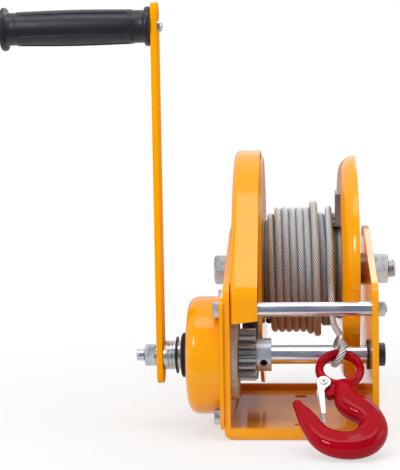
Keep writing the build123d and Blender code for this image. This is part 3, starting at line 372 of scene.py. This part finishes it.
def rope_material():
    """Galvanised wire with fine wires, dull in the grooves; its colour is painted shade, dark in the
    grooves, and painted highlight, bright on the strands' crowns.
    """
    made, tree, shader = new_material("wire_rope", Metallic=0.5)
    crown = tree.nodes.new("ShaderNodeAttribute")
    crown.attribute_name = "crown"
    # Painted shade in the grooves between strands and painted highlight on their crowns
    ramp(
        tree,
        crown.outputs["Fac"],
        [(0.0, srgb(97, 99, 100)), (0.4, srgb(200, 208, 215)), (1.0, srgb(242, 250, 255))],
        shader.inputs["Base Color"],
    )
    span(tree, crown.outputs["Fac"], 0.6, 0.36, shader.inputs["Roughness"], 0.0, 1.0)
    coords = tree.nodes.new("ShaderNodeTexCoord")
    wires = tree.nodes.new("ShaderNodeTexWave")
    wires.bands_direction = "Y"
    wires.inputs["Scale"].default_value = 12.0
    wires.inputs["Distortion"].default_value = 0.3
    tree.links.new(coords.outputs["UV"], wires.inputs["Vector"])
    bump(tree, shader, wires.outputs["Fac"], distance=0.1 * MM, strength=0.6)
    return made


materials = {
    "yellow_paint": enamel("yellow_paint", srgb(255, 171, 0), srgb(253, 164, 0), coat=0.3, gloss=0.2),
    "arm_paint": enamel("arm_paint", srgb(255, 171, 0), srgb(253, 164, 0), coat=0.08, gloss=0.0),
    "cast_boss": cast("cast_boss", srgb(204, 198, 188), srgb(178, 169, 154), 0.5, relief=0.05),
    "red_paint": enamel("red_paint", srgb(176, 0, 26), srgb(158, 0, 20), coat=0.25, gloss=0.03),
    "zinc_steel": plated("zinc_steel", srgb(208, 209, 211), srgb(184, 185, 187), 0.3, relief=0.006),
    "zinc_sheet": plated(
        "zinc_sheet", srgb(240, 240, 240), srgb(222, 222, 223), 0.42, relief=0.008, bare=0.5
    ),
    "bright_steel": plated(
        "bright_steel", srgb(232, 235, 242), srgb(220, 223, 231), 0.24, scale=22, relief=0.0005, rounded=0.0
    ),
    "collar_zinc": plated(
        "collar_zinc", srgb(206, 213, 226), srgb(184, 192, 206), 0.34, relief=0.006, bare=0.6
    ),
    "cut_steel": plated(
        "cut_steel", srgb(192, 193, 194), srgb(174, 175, 175), 0.34, scale=320, relief=0.008
    ),
    "drum_steel": plated("drum_steel", srgb(176, 176, 175), srgb(140, 139, 137), 0.4),
    "black_oxide": plated("black_oxide", srgb(58, 58, 62), srgb(34, 34, 38), 0.38),
    "bronze": plated("bronze", srgb(196, 160, 110), srgb(150, 116, 76), 0.42, scale=200),
    "pressed_alloy": plated("pressed_alloy", srgb(216, 216, 218), srgb(184, 184, 186), 0.34, scale=120),
    "black_plastic": moulded("black_plastic", srgb(36, 37, 44), srgb(26, 27, 33), 0.4, relief=0.01),
    "black_rubber": moulded("black_rubber", srgb(36, 34, 36), srgb(24, 22, 24), 0.6, relief=0.03),
    "friction_lining": moulded("friction_lining", srgb(124, 104, 86), srgb(92, 74, 58), 0.8, relief=0.05),
    "wire_rope": rope_material(),
}

# Nodes that look unlike the others of their slot
own_finish = {"crank_arm": "arm_paint", "shaft_collar": "collar_zinc"}

for node, piece in nodes.items():
    piece.data.materials.clear()
    piece.data.materials.append(materials[own_finish.get(node, slot_of[node])])


# Pieces

def show(name, mesh):
    """A mesh in the scene, shaded smooth."""
    for face in mesh.polygons:
        face.use_smooth = True
    piece = bpy.data.objects.new(name, mesh)
    scene.collection.objects.link(piece)
    return piece


def add_mesh(name, verts, faces):
    mesh = bpy.data.meshes.new(name)
    mesh.from_pydata(verts, [], faces)
    mesh.validate()
    return show(name, mesh)


def dress(piece, node):
    """A piece that stands for a node, on its body and in its slot."""
    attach(piece, body_of[node])
    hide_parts(node)
    piece.data.materials.append(materials[slot_of[node]])
    return piece


def welded(piece, crease=CREASE):
    """Join the points that meet, turn the faces outwards and keep the edges sharp."""
    mesh = piece.data
    cleaned = bmesh.new()
    cleaned.from_mesh(mesh)
    bmesh.ops.remove_doubles(cleaned, verts=cleaned.verts, dist=WELD)
    bmesh.ops.recalc_face_normals(cleaned, faces=cleaned.faces)
    cleaned.to_mesh(mesh)
    cleaned.free()
    mesh.set_sharp_from_angle(angle=math.radians(crease))
    return piece


def lathe(name, stands, profile, count=96, crease=CREASE):
    """Revolve a closed (x, radius) profile about each stand's X axis; it may depend on the angle."""
    verts, faces = [], []
    for stand in stands:
        first = len(verts)
        for step in range(count):
            angle = 2 * math.pi * step / count
            line = profile(angle) if callable(profile) else profile
            size = len(line)
            verts.extend(stand @ Vector((x, r * math.cos(angle), r * math.sin(angle))) for x, r in line)
        for step in range(count):
            following = (step + 1) % count
            for point in range(size):
                after = (point + 1) % size
                near, far = first + step * size, first + following * size
                faces.append((near + point, near + after, far + after, far + point))
    return welded(add_mesh(name, verts, faces), crease)


def at_axis(axis, x=0.0):
    return Matrix.Translation((x, axis[0], axis[1]))


# Rope

def strand_reach(angle, strands, groove):
    """How far a rope of unit radius reaches at an angle from a strand's crown, down to its groove."""
    half = math.sin(math.pi / strands)
    strand = half / (1 + half)
    middle = 1 - strand
    open_reach = middle * math.cos(angle) + math.sqrt(max(0.0, strand**2 - (middle * math.sin(angle)) ** 2))
    return max(groove, open_reach)


def rope_mesh(name, points, strands_laid, swell=1.0):
    """Strands laid round a line of points, as one closed skin with its crowns marked."""
    strands, strand_sides, groove = strands_laid
    sides = strands * strand_sides
    sector = 2 * math.pi / strands
    normal = (points[1] - points[0]).orthogonal().normalized()
    verts, crowns, rows = [], [], []
    run = 0.0
    for index, point in enumerate(points):
        ahead = points[min(index + 1, len(points) - 1)]
        behind = points[max(index - 1, 0)]
        heading = (ahead - behind).normalized()
        normal = (normal - heading * normal.dot(heading)).normalized()
        side = heading.cross(normal)
        if index:
            run += (point - points[index - 1]).length
        rows.append(run)
        turn = 2 * math.pi * run / ROPE_LAY
        for corner in range(sides):
            angle = 2 * math.pi * corner / sides
            reach = strand_reach((angle % sector) - sector / 2, strands, groove)
            out = normal * math.cos(angle + turn) + side * math.sin(angle + turn)
            verts.append(point + out * reach * swell * ROPE_R)
            crowns.append((reach - groove) / (1 - groove))
    faces = []
    for row in range(len(points) - 1):
        for corner in range(sides):
            following = (corner + 1) % sides
            low, high = row * sides, (row + 1) * sides
            faces.append((low + corner, low + following, high + following, high + corner))
    faces.append(tuple(reversed(range(sides))))
    faces.append(tuple(range((len(points) - 1) * sides, len(points) * sides)))
    piece = add_mesh(name, verts, faces)
    mesh = piece.data
    # The crown marks set the rope's painted shade in the grooves and painted highlight on the crowns
    crown = mesh.attributes.new("crown", "FLOAT", "POINT")
    crown.data.foreach_set("value", crowns)
    layer = mesh.uv_layers.new(name="lay")
    for face in mesh.polygons[: (len(points) - 1) * sides]:
        row, corner = divmod(face.index, sides)
        for loop, (ahead, around) in zip(face.loop_indices, ((0, 0), (0, 1), (1, 1), (1, 0))):
            twist = rows[row + ahead] / ROPE_LAY
            layer.data[loop].uv = (rows[row + ahead] / ROPE_D, (corner + around) / sides + twist)
    return piece


def eased(share):
    share = min(1.0, max(0.0, share))
    return share * share * (3 - 2 * share)


def rope_level(turn):
    """Radius of the wound rope's middle line: up a layer, up another, then down both."""
    level = ROPE_OUTER_R - ROPE_R - ROPE_RISE
    for (start, end), layers in ((ROPE_CLIMB, 1), (ROPE_RAISE, 1), (ROPE_DROP, -2)):
        level += layers * ROPE_RISE * eased((turn - start) / (end - start))
    return level


rope_left, rope_right = ends_of("drum_barrel")
rope_start_x = rope_left + ROPE_SIDE_GAP + ROPE_R


def rope_point(turn):
    angle = ROPE_ANCHOR + 2 * math.pi * (turn - ROPE_TURNS)
    level = rope_level(turn)
    x = rope_start_x + ROPE_PITCH * turn
    return Vector((x, drum_y + level * math.cos(angle), drum_z + level * math.sin(angle)))


def wound_rope():
    steps = round(STEPS_PER_TURN * ROPE_TURNS)
    points = [rope_point(ROPE_TURNS * step / steps) for step in range(steps + 1)]
    first = (points[0] - points[1]).normalized() * ROPE_D
    last = (points[-1] - points[-2]).normalized() * ROPE_D
    line = [points[0] + first, *points, points[-1] + last]
    dress(rope_mesh("wound_rope", line, WOUND_LAY, ROPE_SWELL), "rope_winding")


def inner_turns():
    """The turns under the outer layer: a stepped core with a groove for each turn."""
    low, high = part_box("rope_core")
    core_high = (high.z - low.z) / 2
    core_low = core_high - ROPE_RISE
    step_in = rope_start_x + ROPE_PITCH * ROPE_CLIMB[1] + ROPE_R
    step_out = rope_start_x + ROPE_PITCH * ROPE_DROP[0] - ROPE_R
    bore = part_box("drum_barrel")[1].z - drum_z
    line = [(rope_left, bore)]
    for sample in range(CORE_SAMPLES + 1):
        x = rope_left + (rope_right - rope_left) * sample / CORE_SAMPLES
        crown = core_high if step_in < x < step_out else core_low
        phase = ((x - rope_start_x) / ROPE_PITCH + 0.5) % 1.0 - 0.5
        line.append((x, crown - ROPE_R + math.sqrt(max(0.0, ROPE_R**2 - (phase * ROPE_D) ** 2))))
    line.append((rope_right, bore))
    piece = dress(lathe("inner_turns", [at_axis((drum_y, drum_z))], line), "rope_core")
    # Painted shade: the inner turns take a low crown share, so their colour is darker than the outer turns'
    crown = piece.data.attributes.new("crown", "FLOAT", "POINT")
    crown.data.foreach_set("value", [CORE_CROWN_SHADE] * len(piece.data.vertices))


def spline_points(name, route):
    """Points along the smooth line that a route's points control."""
    curve = bpy.data.curves.new(name, "CURVE")
    curve.dimensions = "3D"
    curve.resolution_u = 16
    spline = curve.splines.new("NURBS")
    spline.points.add(len(route) - 1)
    for point, where in zip(spline.points, route):
        point.co = (*where, 1.0)
    spline.order_u = 3
    spline.use_endpoint_u = True
    holder = bpy.data.objects.new(name, curve)
    line = bpy.data.meshes.new_from_object(holder)
    points = [vert.co.copy() for vert in line.vertices]
    bpy.data.objects.remove(holder)
    return points


def rope_tail():
    points = spline_points("tail_line", [Vector(point) * MM for point in TAIL_ROUTE])
    length = sum((b - a).length for a, b in zip(points, points[1:]))
    tail = dress(rope_mesh("hook_rope", points, EYE_LAY), "rope_tail")
    return tail, points, length


hook_up = Vector((0, math.sin(HOOK_LEAN), math.cos(HOOK_LEAN)))
hook_face = Vector((0, -math.cos(HOOK_LEAN), math.sin(HOOK_LEAN)))
ring_top = HOOK_EYE + hook_up * RING_MIDDLE_R
tail_end = Vector(TAIL_ROUTE[-1]) * MM
eye_way = (tail_end - ring_top).normalized()
eye_side = Vector((1, 0, 0)).cross(eye_way).normalized()
eye_normal = eye_way.cross(eye_side) * math.cos(EYE_TWIST) + eye_side * math.sin(EYE_TWIST)
eye_across = eye_normal.cross(eye_way)


def rope_eye():
    """The rope's loop through the hook's ring, from the ferrule and back to it."""
    reach = (tail_end - ring_top).length - FERRULE_LENGTH
    bend_r = RING_DEPTH / 2 / math.cos(EYE_TWIST) + ROPE_R + 2 * SEAT_GAP
    strand = ROPE_R + SEAT_GAP / 2
    lead_x = bend_r * math.cos(EYE_LEAD)
    lead_y = bend_r * math.sin(EYE_LEAD)
    middle_x = (reach - EYE_RUN + lead_x) / 2
    middle_y = (strand + lead_y) / 2

    def at(along, sideways):
        return ring_top + eye_way * along + eye_across * sideways

    arc_run = 2 * math.pi - 2 * EYE_LEAD
    arc = [EYE_LEAD + arc_run * step / EYE_STEPS for step in range(EYE_STEPS + 1)]
    bend = [at(bend_r * math.cos(angle), bend_r * math.sin(angle)) for angle in arc]
    lead_in = [at(reach, strand), at(reach - EYE_RUN, strand), at(middle_x, middle_y)]
    lead_out = [at(middle_x, -middle_y), at(reach - EYE_RUN, -strand), at(reach, -strand)]
    points = spline_points("eye_line", [*lead_in, *bend, *lead_out])
    return dress(rope_mesh("eye_rope", points, EYE_LAY), "rope_eye")


def pressed_ferrule():
    """An oval sleeve pressed on the rope, with two shallow dents across it and rounded ends."""
    sides, rings = FERRULE_SIDES, FERRULE_RINGS
    verts, faces = [], []
    for ring in range(rings):
        share = ring / (rings - 1)
        end = min(share, 1 - share)
        drop = FERRULE_END_DROP * (1 - eased(end / FERRULE_END_SHARE))
        dent = FERRULE_DENT * math.sin(3 * math.pi * share) ** FERRULE_DENT_POWER
        swell = 1 - drop - dent
        middle = tail_end - eye_way * FERRULE_LENGTH * share
        for side in range(sides):
            angle = 2 * math.pi * side / sides
            wide, high = math.cos(angle), math.sin(angle)
            across = math.copysign(abs(wide) ** FERRULE_OVAL, wide) * FERRULE_WIDTH / 2
            out = math.copysign(abs(high) ** FERRULE_OVAL, high) * FERRULE_HEIGHT / 2
            verts.append(middle + (eye_across * across + eye_normal * out) * swell)
    for ring in range(rings - 1):
        for side in range(sides):
            following = (side + 1) % sides
            low, high = ring * sides, (ring + 1) * sides
            faces.append((low + side, low + following, high + following, high + side))
    faces.append(tuple(range(sides)))
    faces.append(tuple(range((rings - 1) * sides, rings * sides)))
    return dress(welded(add_mesh("pressed_ferrule", verts, faces)), "ferrule")


# Fasteners, the shaft, and the crank's small parts

def hex_reach(angle, across):
    """How far a hexagon reaches at an angle from one of its corners."""
    sector = math.pi / 3
    return across / 2 / math.cos(angle % sector - sector / 2)


def hex_end(angle, across, face, inward):
    """A hexagon's chamfered end: the chamfer's circle, then where it meets the side."""
    reach = hex_reach(angle, across)
    rim = CHAMFER_SHARE * across / 2
    return [(face, rim), (face + inward * (reach - rim) * CHAMFER_SLOPE, reach)]


def thread_line(angle, start, end, radius, pitch):
    """A screw thread's outline at an angle, eased away at its start and chamfered at its end."""
    count = max(THREAD_SAMPLES, round(abs(end - start) / pitch * THREAD_SAMPLES))
    line = []
    for sample in range(count + 1):
        share = sample / count
        x = start + (end - start) * share
        phase = (x / pitch - angle / (2 * math.pi)) % 1.0
        groove = THREAD_DEPTH * pitch * abs(2 * phase - 1) * eased(abs(x - start) / pitch)
        chamfer = max(0.0, THREAD_CHAMFER * pitch - abs(end - x))
        line.append((x, radius - max(groove, chamfer)))
    return line


def hex_bolt(name, node, stands, across, head, seat, radius, thread_start, tip, pitch):
    """A bolt from its head's face to its tip, with its head chamfered and its thread cut."""
    inward = math.copysign(1, seat - head)

    def profile(angle):
        outer = hex_end(angle, across, head, inward)
        under = [(seat, hex_reach(angle, across)), (seat, radius)]
        thread = thread_line(angle, thread_start, tip, radius, pitch)
        return [(head, 0.0), *outer, *under, *thread, (tip, 0.0)]

    return dress(lathe(name, stands, profile), node)


def hex_nut(name, node, across, bore):
    start, end = ends_of(node)

    def profile(angle):
        outer = hex_end(angle, across, start, 1) + list(reversed(hex_end(angle, across, end, -1)))
        return [(start, bore), *outer, (end, bore)]

    return dress(lathe(name, [at_axis(axis_of(node))], profile), node)


def rounded_ring(name, node, stands, length, outer, bore, edge, grooves=()):
    """A washer or ring with rounded outer edges, and grooves given by share of length, width and depth."""
    steps = 4
    angles = [math.pi / 2 * (1 - step / steps) for step in range(steps + 1)]
    near = [(edge * (1 - math.sin(angle)), outer - edge * (1 - math.cos(angle))) for angle in angles]
    line = [(0.0, bore), *near]
    for share, width, depth in grooves:
        middle = share * length
        line += [(middle - width / 2, outer), (middle - width / 4, outer - depth)]
        line += [(middle + width / 4, outer - depth), (middle + width / 2, outer)]
    far = [(length - x, r) for x, r in reversed(near)]
    return dress(lathe(name, stands, [*line, *far, (length, bore)]), node)


def fasteners():
    axle = axis_of("axle_nut")
    low, high = ends_of("axle_bolt")
    washer_low, washer_high = ends_of("axle_washers")
    hex_bolt(
        "axle_screw",
        "axle_bolt",
        [at_axis(axle)],
        across=AXLE_ACROSS,
        head=low,
        seat=washer_low,
        radius=AXLE_R,
        thread_start=washer_high - 6 * MM,
        tip=high,
        pitch=2 * MM,
    )
    hex_nut("axle_hex_nut", "axle_nut", across=AXLE_ACROSS, bore=8.1 * MM)
    rounded_ring(
        "axle_flat_washers",
        "axle_washers",
        [at_axis(axle, washer_low), at_axis(axle, washer_high - AXLE_WASHER)],
        length=AXLE_WASHER,
        outer=15 * MM,
        bore=8.3 * MM,
        edge=0.6 * MM,
    )

    low, high = ends_of("tie_bolt")
    seat = low + SMALL_HEAD
    hex_bolt(
        "tie_screw",
        "tie_bolt",
        [at_axis(axis_of("tie_bar"))],
        across=SMALL_ACROSS,
        head=low,
        seat=seat,
        radius=SMALL_R,
        thread_start=high - 9 * MM,
        tip=high,
        pitch=SMALL_PITCH,
    )
    hex_nut("tie_hex_nut", "tie_nut", across=11 * MM, bore=3.55 * MM)

    # The housing's screws seat at the same x as the tie's
    low, high = ends_of("housing_bolts")
    y, z = axis_of("shaft_collar")
    signs = [(-1, -1), (1, -1), (1, 1)]
    hex_bolt(
        "housing_screws",
        "housing_bolts",
        [at_axis((y + side * HOUSING_HALF_Y, z + up * HOUSING_HALF_Z)) for side, up in signs],
        across=SMALL_ACROSS,
        head=low,
        seat=seat,
        radius=SMALL_R,
        thread_start=seat + 2 * MM,
        tip=high,
        pitch=SMALL_PITCH,
    )

    low, high = ends_of("clamp_bolt")
    seat = high - CLAMP_HEAD
    hex_bolt(
        "clamp_screw",
        "clamp_bolt",
        [at_axis(axis_of("clamp_bolt"))],
        across=8 * MM,
        head=high,
        seat=seat,
        radius=2.5 * MM,
        thread_start=seat - 2 * MM,
        tip=low,
        pitch=0.8 * MM,
    )


def shaft_and_crank():
    shaft = axis_of("shaft_collar")
    low, high = ends_of("drive_shaft")
    step_x = ends_of("brake_plate")[1]
    arm_left, arm_right = ends_of("crank_arm")

    def profile(angle):
        line = [(high, 0.0), (high, SHAFT_END_R), (high - SHAFT_CHAMFER, SHAFT_R)]
        line += [(step_x, SHAFT_R), (step_x, HUB_R), (arm_right, HUB_R), (arm_right, STUD_R)]
        return [*line, *thread_line(angle, arm_left, low, STUD_R, STUD_PITCH), (low, 0.0)]

    dress(lathe("shaft_and_stud", [at_axis(shaft)], profile), "drive_shaft")
    hex_nut("crank_hex_nut", "crank_nut", across=16 * MM, bore=5.05 * MM)
    left, right = ends_of("crank_washer")
    rounded_ring(
        "crank_flat_washer",
        "crank_washer",
        [at_axis(shaft, left)],
        length=right - left,
        outer=9 * MM,
        bore=5.2 * MM,
        edge=0.4 * MM,
    )
    left, right = ends_of("crank_spacer")
    rounded_ring(
        "crank_collar",
        "crank_spacer",
        [at_axis(shaft, left)],
        length=right - left,
        outer=11.7 * MM,
        bore=7.2 * MM,
        edge=0.8 * MM,
        grooves=[(0.45, 1.2 * MM, 0.5 * MM), (0.72, 0.8 * MM, 0.4 * MM)],
    )
    left, right = ends_of("dust_ring")
    length = right - left
    lip = [(x * MM, r * MM) for x, r in DUST_LIP] + [(length - x * MM, r * MM) for x, r in DUST_RIM]
    dress(lathe("dust_seal", [at_axis(shaft, left)], lip, crease=SOFT_CREASE), "dust_ring")


def handle_grip():
    """A moulded grip: a rounded flange and a neck at each end, and flutes that narrow at the middle."""
    left, right = ends_of("grip")
    body_left, body_right = left + GRIP_BODY_LEFT, right - GRIP_BODY_RIGHT
    left_end = [(left + x * MM, r * MM) for x, r in GRIP_LEFT_END]
    right_end = [(right - x * MM, r * MM) for x, r in GRIP_RIGHT_END]

    def profile(angle):
        phase = abs(((angle + FLUTE_TURN) * FLUTES / (2 * math.pi)) % 1.0 - 0.5)
        body = []
        for sample in range(GRIP_SAMPLES + 1):
            share = sample / GRIP_SAMPLES
            full = (GRIP_BODY_R + GRIP_SWELL * math.sin(math.pi * share)) * MM
            half = FLUTE_HALF - FLUTE_WAIST * math.sin(math.pi * share)
            runout = eased(min(share, 1 - share) / FLUTE_END)
            depth = FLUTE_DEPTH * eased((half - phase) / FLUTE_SIDE) * runout
            body.append((body_left + (body_right - body_left) * share, full - depth))
        return left_end + body + right_end

    grip = lathe("handle_grip", [at_axis(axis_of("grip"))], profile, GRIP_COUNT, SOFT_CREASE)
    dress(grip, "grip")


def handle_bolt():
    """The grip's bolt: a domed rivet on the arm, a shank, and a low head in the grip's end."""
    low, high = ends_of("grip_bolt")
    arm_right = ends_of("crank_arm")[1]
    line = [(high - x * MM, r * MM) for x, r in BOLT_DOME]
    line += [(arm_right, r * MM) for r in BOLT_SHANK]
    line += [(low + x * MM, r * MM) for x, r in BOLT_HEAD]
    dress(lathe("handle_bolt", [at_axis(axis_of("grip_bolt"))], line), "grip_bolt")


rivet_low, rivet_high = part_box("latch_pin")
rivet_lean = 2 * RIVET_HEAD_R * math.cos(HOOK_LEAN)
rivet_half = (rivet_high.z - rivet_low.z - rivet_lean) / (2 * math.sin(HOOK_LEAN))


def latch_rivet():
    """The latch's pin: a tube with a rolled head on each side."""
    across = Vector((1, 0, 0))
    turned = Matrix((hook_face, across, hook_face.cross(across))).transposed().to_4x4()
    stand = Matrix.Translation((rivet_low + rivet_high) / 2) @ turned
    seat = rivet_half - RIVET_HEAD_H
    outer = [(rivet_half - x * MM, r * MM) for x, r in RIVET_ROLL]
    outer += [(seat, RIVET_HEAD_R), (seat, RIVET_SHANK_R)]
    line = [*outer, *[(-x, r) for x, r in reversed(outer)]]
    return dress(lathe("latch_rivet", [stand], line, RIVET_COUNT), "latch_pin")


def curve_points(start, control, end, count=8):
    """Points of a curve from a start to an end that a control point bends, without the start."""
    steps = [step / count for step in range(1, count + 1)]
    return [start * (1 - t) ** 2 + control * 2 * t * (1 - t) + end * t**2 for t in steps]


def drawn_in(outline, amount):
    """An outline moved inwards by an amount."""
    moved = []
    for index, point in enumerate(outline):
        way = (outline[(index + 1) % len(outline)] - outline[index - 1]).normalized()
        moved.append(point + Vector((way.y, -way.x)) * amount)
    return moved


def latch_edge(x, length):
    """Where the latch's outer edge is, straight from the head to the tip."""
    return -LATCH_HEAD_R + (LATCH_HEAD_R - LATCH_TIP_HALF) * x / length


def latch_outline(length):
    """A cheek's outline, along and across: round head, waist, inner edge, rounded tip and outer edge."""
    turns = [math.radians(270 - LATCH_HEAD_STEP * step) for step in range(LATCH_HEAD_STEPS)]
    outline = [Vector((math.cos(turn), math.sin(turn))) * LATCH_HEAD_R for turn in turns]
    outline += curve_points(outline[-1], LATCH_WAIST_BEND, LATCH_WAIST)
    outline += [*LATCH_INNER_EDGE, Vector((length - LATCH_INNER_ROUND, LATCH_INNER_Y))]
    tip_in, tip_out = (Vector((length, y)) for y in LATCH_TIP_FLAT)
    outline += curve_points(outline[-1], Vector((length, LATCH_INNER_Y)), tip_in)
    outer_end = length - LATCH_OUTER_ROUND
    outer_start = Vector((outer_end, latch_edge(outer_end, length)))
    outline += curve_points(tip_out, Vector((length, latch_edge(length, length))), outer_start, count=4)
    return outline + [Vector((x, latch_edge(x, length))) for x in LATCH_OUTER_EDGE]


def wall(built, rings):
    """Faces between closed rings of points."""
    for low, high in zip(rings, rings[1:]):
        for point in range(len(low)):
            after = (point + 1) % len(low)
            built.faces.new((low[point], low[after], high[after], high[point]))


def cap(built, *loops):
    """A flat face with the first loop as its edge and the other as its hole."""
    edges = []
    for loop in loops:
        for start, end in zip(loop, loop[1:] + loop[:1]):
            edges.append(built.edges.get((start, end)) or built.edges.new((start, end)))
    bmesh.ops.triangle_fill(built, use_beauty=True, use_dissolve=False, edges=edges)


def hook_latch():
    """A pressed latch: two waisted cheeks on the pin, joined by a web along their outer edge."""
    pivot = HOOK_EYE + Vector((LATCH_PIVOT[0], 0, 0)) + hook_up * LATCH_PIVOT[1]
    run = Vector((LATCH_TIP[0] - LATCH_PIVOT[0], 0, 0)) + hook_up * (LATCH_TIP[1] - LATCH_PIVOT[1])
    length = run.length
    along = run.normalized()
    across = hook_face.cross(along)
    cheek_out = rivet_half - RIVET_HEAD_H - LATCH_HEAD_GAP
    cheek_in = cheek_out - LATCH_SHEET
    outline = latch_outline(length)
    inner = drawn_in(outline, LATCH_EDGE)
    turns = [2 * math.pi * step / LATCH_HOLE_STEPS for step in range(LATCH_HOLE_STEPS)]
    hole_r = RIVET_SHANK_R + LATCH_HOLE_PLAY
    hole = [Vector((math.cos(turn), math.sin(turn))) * hole_r for turn in turns]
    built = bmesh.new()

    def corner(x, y, out):
        return built.verts.new(pivot + along * x + across * y + hook_face * out)

    def ring(points, out):
        return [corner(point.x, point.y, out) for point in points]

    for side in (1, -1):
        near, far = side * cheek_in, side * cheek_out
        step = side * LATCH_EDGE
        skins = [ring(inner, near), ring(outline, near + step), ring(outline, far - step), ring(inner, far)]
        bores = [ring(hole, near), ring(hole, far)]
        wall(built, skins)
        wall(built, bores)
        cap(built, skins[0], bores[0])
        cap(built, skins[-1], bores[-1])

    web_run = length - LATCH_WEB_END_GAP - LATCH_WEB_START
    web_out = cheek_out - LATCH_WEB_INSET
    strip = []
    for step in range(LATCH_WEB_STEPS + 1):
        x = LATCH_WEB_START + web_run * step / LATCH_WEB_STEPS
        left = latch_edge(x, length) + LATCH_WEB_SINK
        right = left + LATCH_SHEET
        corners = [(left, -web_out), (right, -web_out), (right, web_out), (left, web_out)]
        strip.append([corner(x, y, out) for y, out in corners])
    wall(built, strip)
    built.faces.new(strip[0])
    built.faces.new(strip[-1])
    bmesh.ops.recalc_face_normals(built, faces=built.faces)
    mesh = bpy.data.meshes.new("hook_latch")
    built.to_mesh(mesh)
    built.free()
    piece = show("hook_latch", mesh)
    mesh.set_sharp_from_angle(angle=math.radians(CREASE))
    return dress(piece, "latch")


wound_rope()
inner_turns()
tail, tail_points, tail_length = rope_tail()
eye = rope_eye()
ferrule = pressed_ferrule()
rivet = latch_rivet()
latch = hook_latch()
fasteners()
shaft_and_crank()
handle_grip()
handle_bolt()


# Studio: white floor and world, soft lamps, and grey cards that only gloss sees

def sight(tree):
    """One where the camera, or a reflection or glass, looks at the surface."""
    rays = tree.nodes.new("ShaderNodeLightPath")
    seen = rays.outputs["Is Camera Ray"]
    for ray in ("Is Glossy Ray", "Is Transmission Ray"):
        either = tree.nodes.new("ShaderNodeMath")
        either.operation = "MAXIMUM"
        tree.links.new(seen, either.inputs[0])
        tree.links.new(rays.outputs[ray], either.inputs[1])
        seen = either.outputs["Value"]
    return seen


def studio_floor():
    """A pale floor that keeps the shadow near the object and turns white further off."""
    half = FLOOR_HALF
    corners = [(-half, -half, 0), (half, -half, 0), (half, half, 0), (-half, half, 0)]
    floor = add_mesh("floor", corners, [(0, 1, 2, 3)])
    made, tree, shader = new_material("floor_white", Base_Color=(0.9, 0.9, 0.9, 1.0))
    where = place(tree)
    span(tree, noise(tree, where, scale=3), 0.55, 0.65, shader.inputs["Roughness"])
    away = tree.nodes.new("ShaderNodeVectorMath")
    away.operation = "LENGTH"
    tree.links.new(where, away.inputs[0])
    white = tree.nodes.new("ShaderNodeEmission")
    share = tree.nodes.new("ShaderNodeMath")
    share.operation = "MULTIPLY"
    span(tree, away.outputs["Value"], 0.6, 1.0, share.inputs[0], *FLOOR_SHADOW)
    tree.links.new(sight(tree), share.inputs[1])
    mixed = tree.nodes.new("ShaderNodeMixShader")
    tree.links.new(share.outputs["Value"], mixed.inputs["Fac"])
    tree.links.new(shader.outputs["BSDF"], mixed.inputs[1])
    tree.links.new(white.outputs["Emission"], mixed.inputs[2])
    tree.links.new(mixed.outputs["Shader"], tree.nodes["Material Output"].inputs["Surface"])
    floor.data.materials.append(made)


def studio_world():
    world = bpy.data.worlds.new("studio")
    scene.world = world
    world.use_nodes = True
    tree = world.node_tree
    background = tree.nodes["Background"]
    background.inputs["Color"].default_value = (1, 1, 1, 1)
    span(tree, sight(tree), 0.4, 1.0, background.inputs["Strength"], 0.0, 1.0)


def grey_card(name, start, end, colour):
    """A card between two edges, given by y and z, that only reflections see: it darkens bright metal."""
    corners = [(-CARD_HALF, *start), (CARD_HALF, *start), (CARD_HALF, *end), (-CARD_HALF, *end)]
    card = add_mesh(name, corners, [(0, 1, 2, 3)])
    made = new_material(name, Base_Color=(0, 0, 0, 1), Emission_Color=colour, Emission_Strength=1.0)[0]
    card.data.materials.append(made)
    for ray in ("camera", "diffuse", "transmission", "shadow", "volume_scatter"):
        setattr(card, f"visible_{ray}", False)


def soft_lamp(name, where, target, size, power, mirrored=True):
    """A soft lamp, which may be left out of reflections."""
    lamp = bpy.data.lights.new(name, "AREA")
    lamp.shape = "RECTANGLE"
    lamp.size, lamp.size_y = size
    lamp.energy = power
    holder = bpy.data.objects.new(name, lamp)
    holder.location = where
    holder.visible_glossy = mirrored
    holder.rotation_euler = (Vector(target) - Vector(where)).to_track_quat("-Z", "Y").to_euler()
    scene.collection.objects.link(holder)


def studio_camera():
    data = bpy.data.cameras.new("camera")
    data.sensor_width = SENSOR
    data.lens = FOCAL_PIXELS * SENSOR / IMAGE_HEIGHT
    holder = bpy.data.objects.new("camera", data)
    aim = Vector((
        -math.sin(CAMERA_YAW) * math.cos(CAMERA_PITCH),
        math.cos(CAMERA_YAW) * math.cos(CAMERA_PITCH),
        math.sin(CAMERA_PITCH),
    ))
    turned = aim.to_track_quat("-Z", "Y").to_matrix().to_4x4()
    holder.matrix_world = Matrix.Translation(CAMERA_PLACE) @ turned @ Matrix.Rotation(CAMERA_ROLL, 4, "Z")
    scene.collection.objects.link(holder)
    scene.camera = holder


studio_floor()
studio_world()
front_grey = srgb(112, 116, 132)
rear_grey = srgb(158, 158, 162)
grey_card("floor_card", (-CARD_AWAY, CARD_GAP), (-0.2, CARD_GAP), front_grey)
grey_card("front_card", (-CARD_AWAY, 0.0), (-CARD_AWAY, CARD_TOP), front_grey)
grey_card("upper_card", (-CARD_AWAY, CARD_TOP), (-0.85, 1.95), front_grey)
grey_card("rear_card", (CARD_AWAY, 0.0), (CARD_AWAY, 0.5), rear_grey)
soft_lamp("overhead", (0.0, -0.44, 1.5), target=(0, -0.24, 0.1), size=(1.3, 0.56), power=7)
soft_lamp(
    "overhead_fill", (0.0, -0.03, 1.5), target=(0, 0.17, 0.1), size=(1.3, 0.26), power=3, mirrored=False
)
soft_lamp("key", (-0.8, -1.25, 0.95), target=(0, 0, 0.12), size=(0.36, 0.36), power=8)
soft_lamp("rear", (0.5, 1.1, 1.2), target=(0, 0, 0.12), size=(0.9, 0.7), power=6)
soft_lamp("side", (1.3, -0.3, 0.6), target=(0, 0, 0.14), size=(0.8, 0.6), power=2)
studio_camera()

bpy.context.view_layer.update()
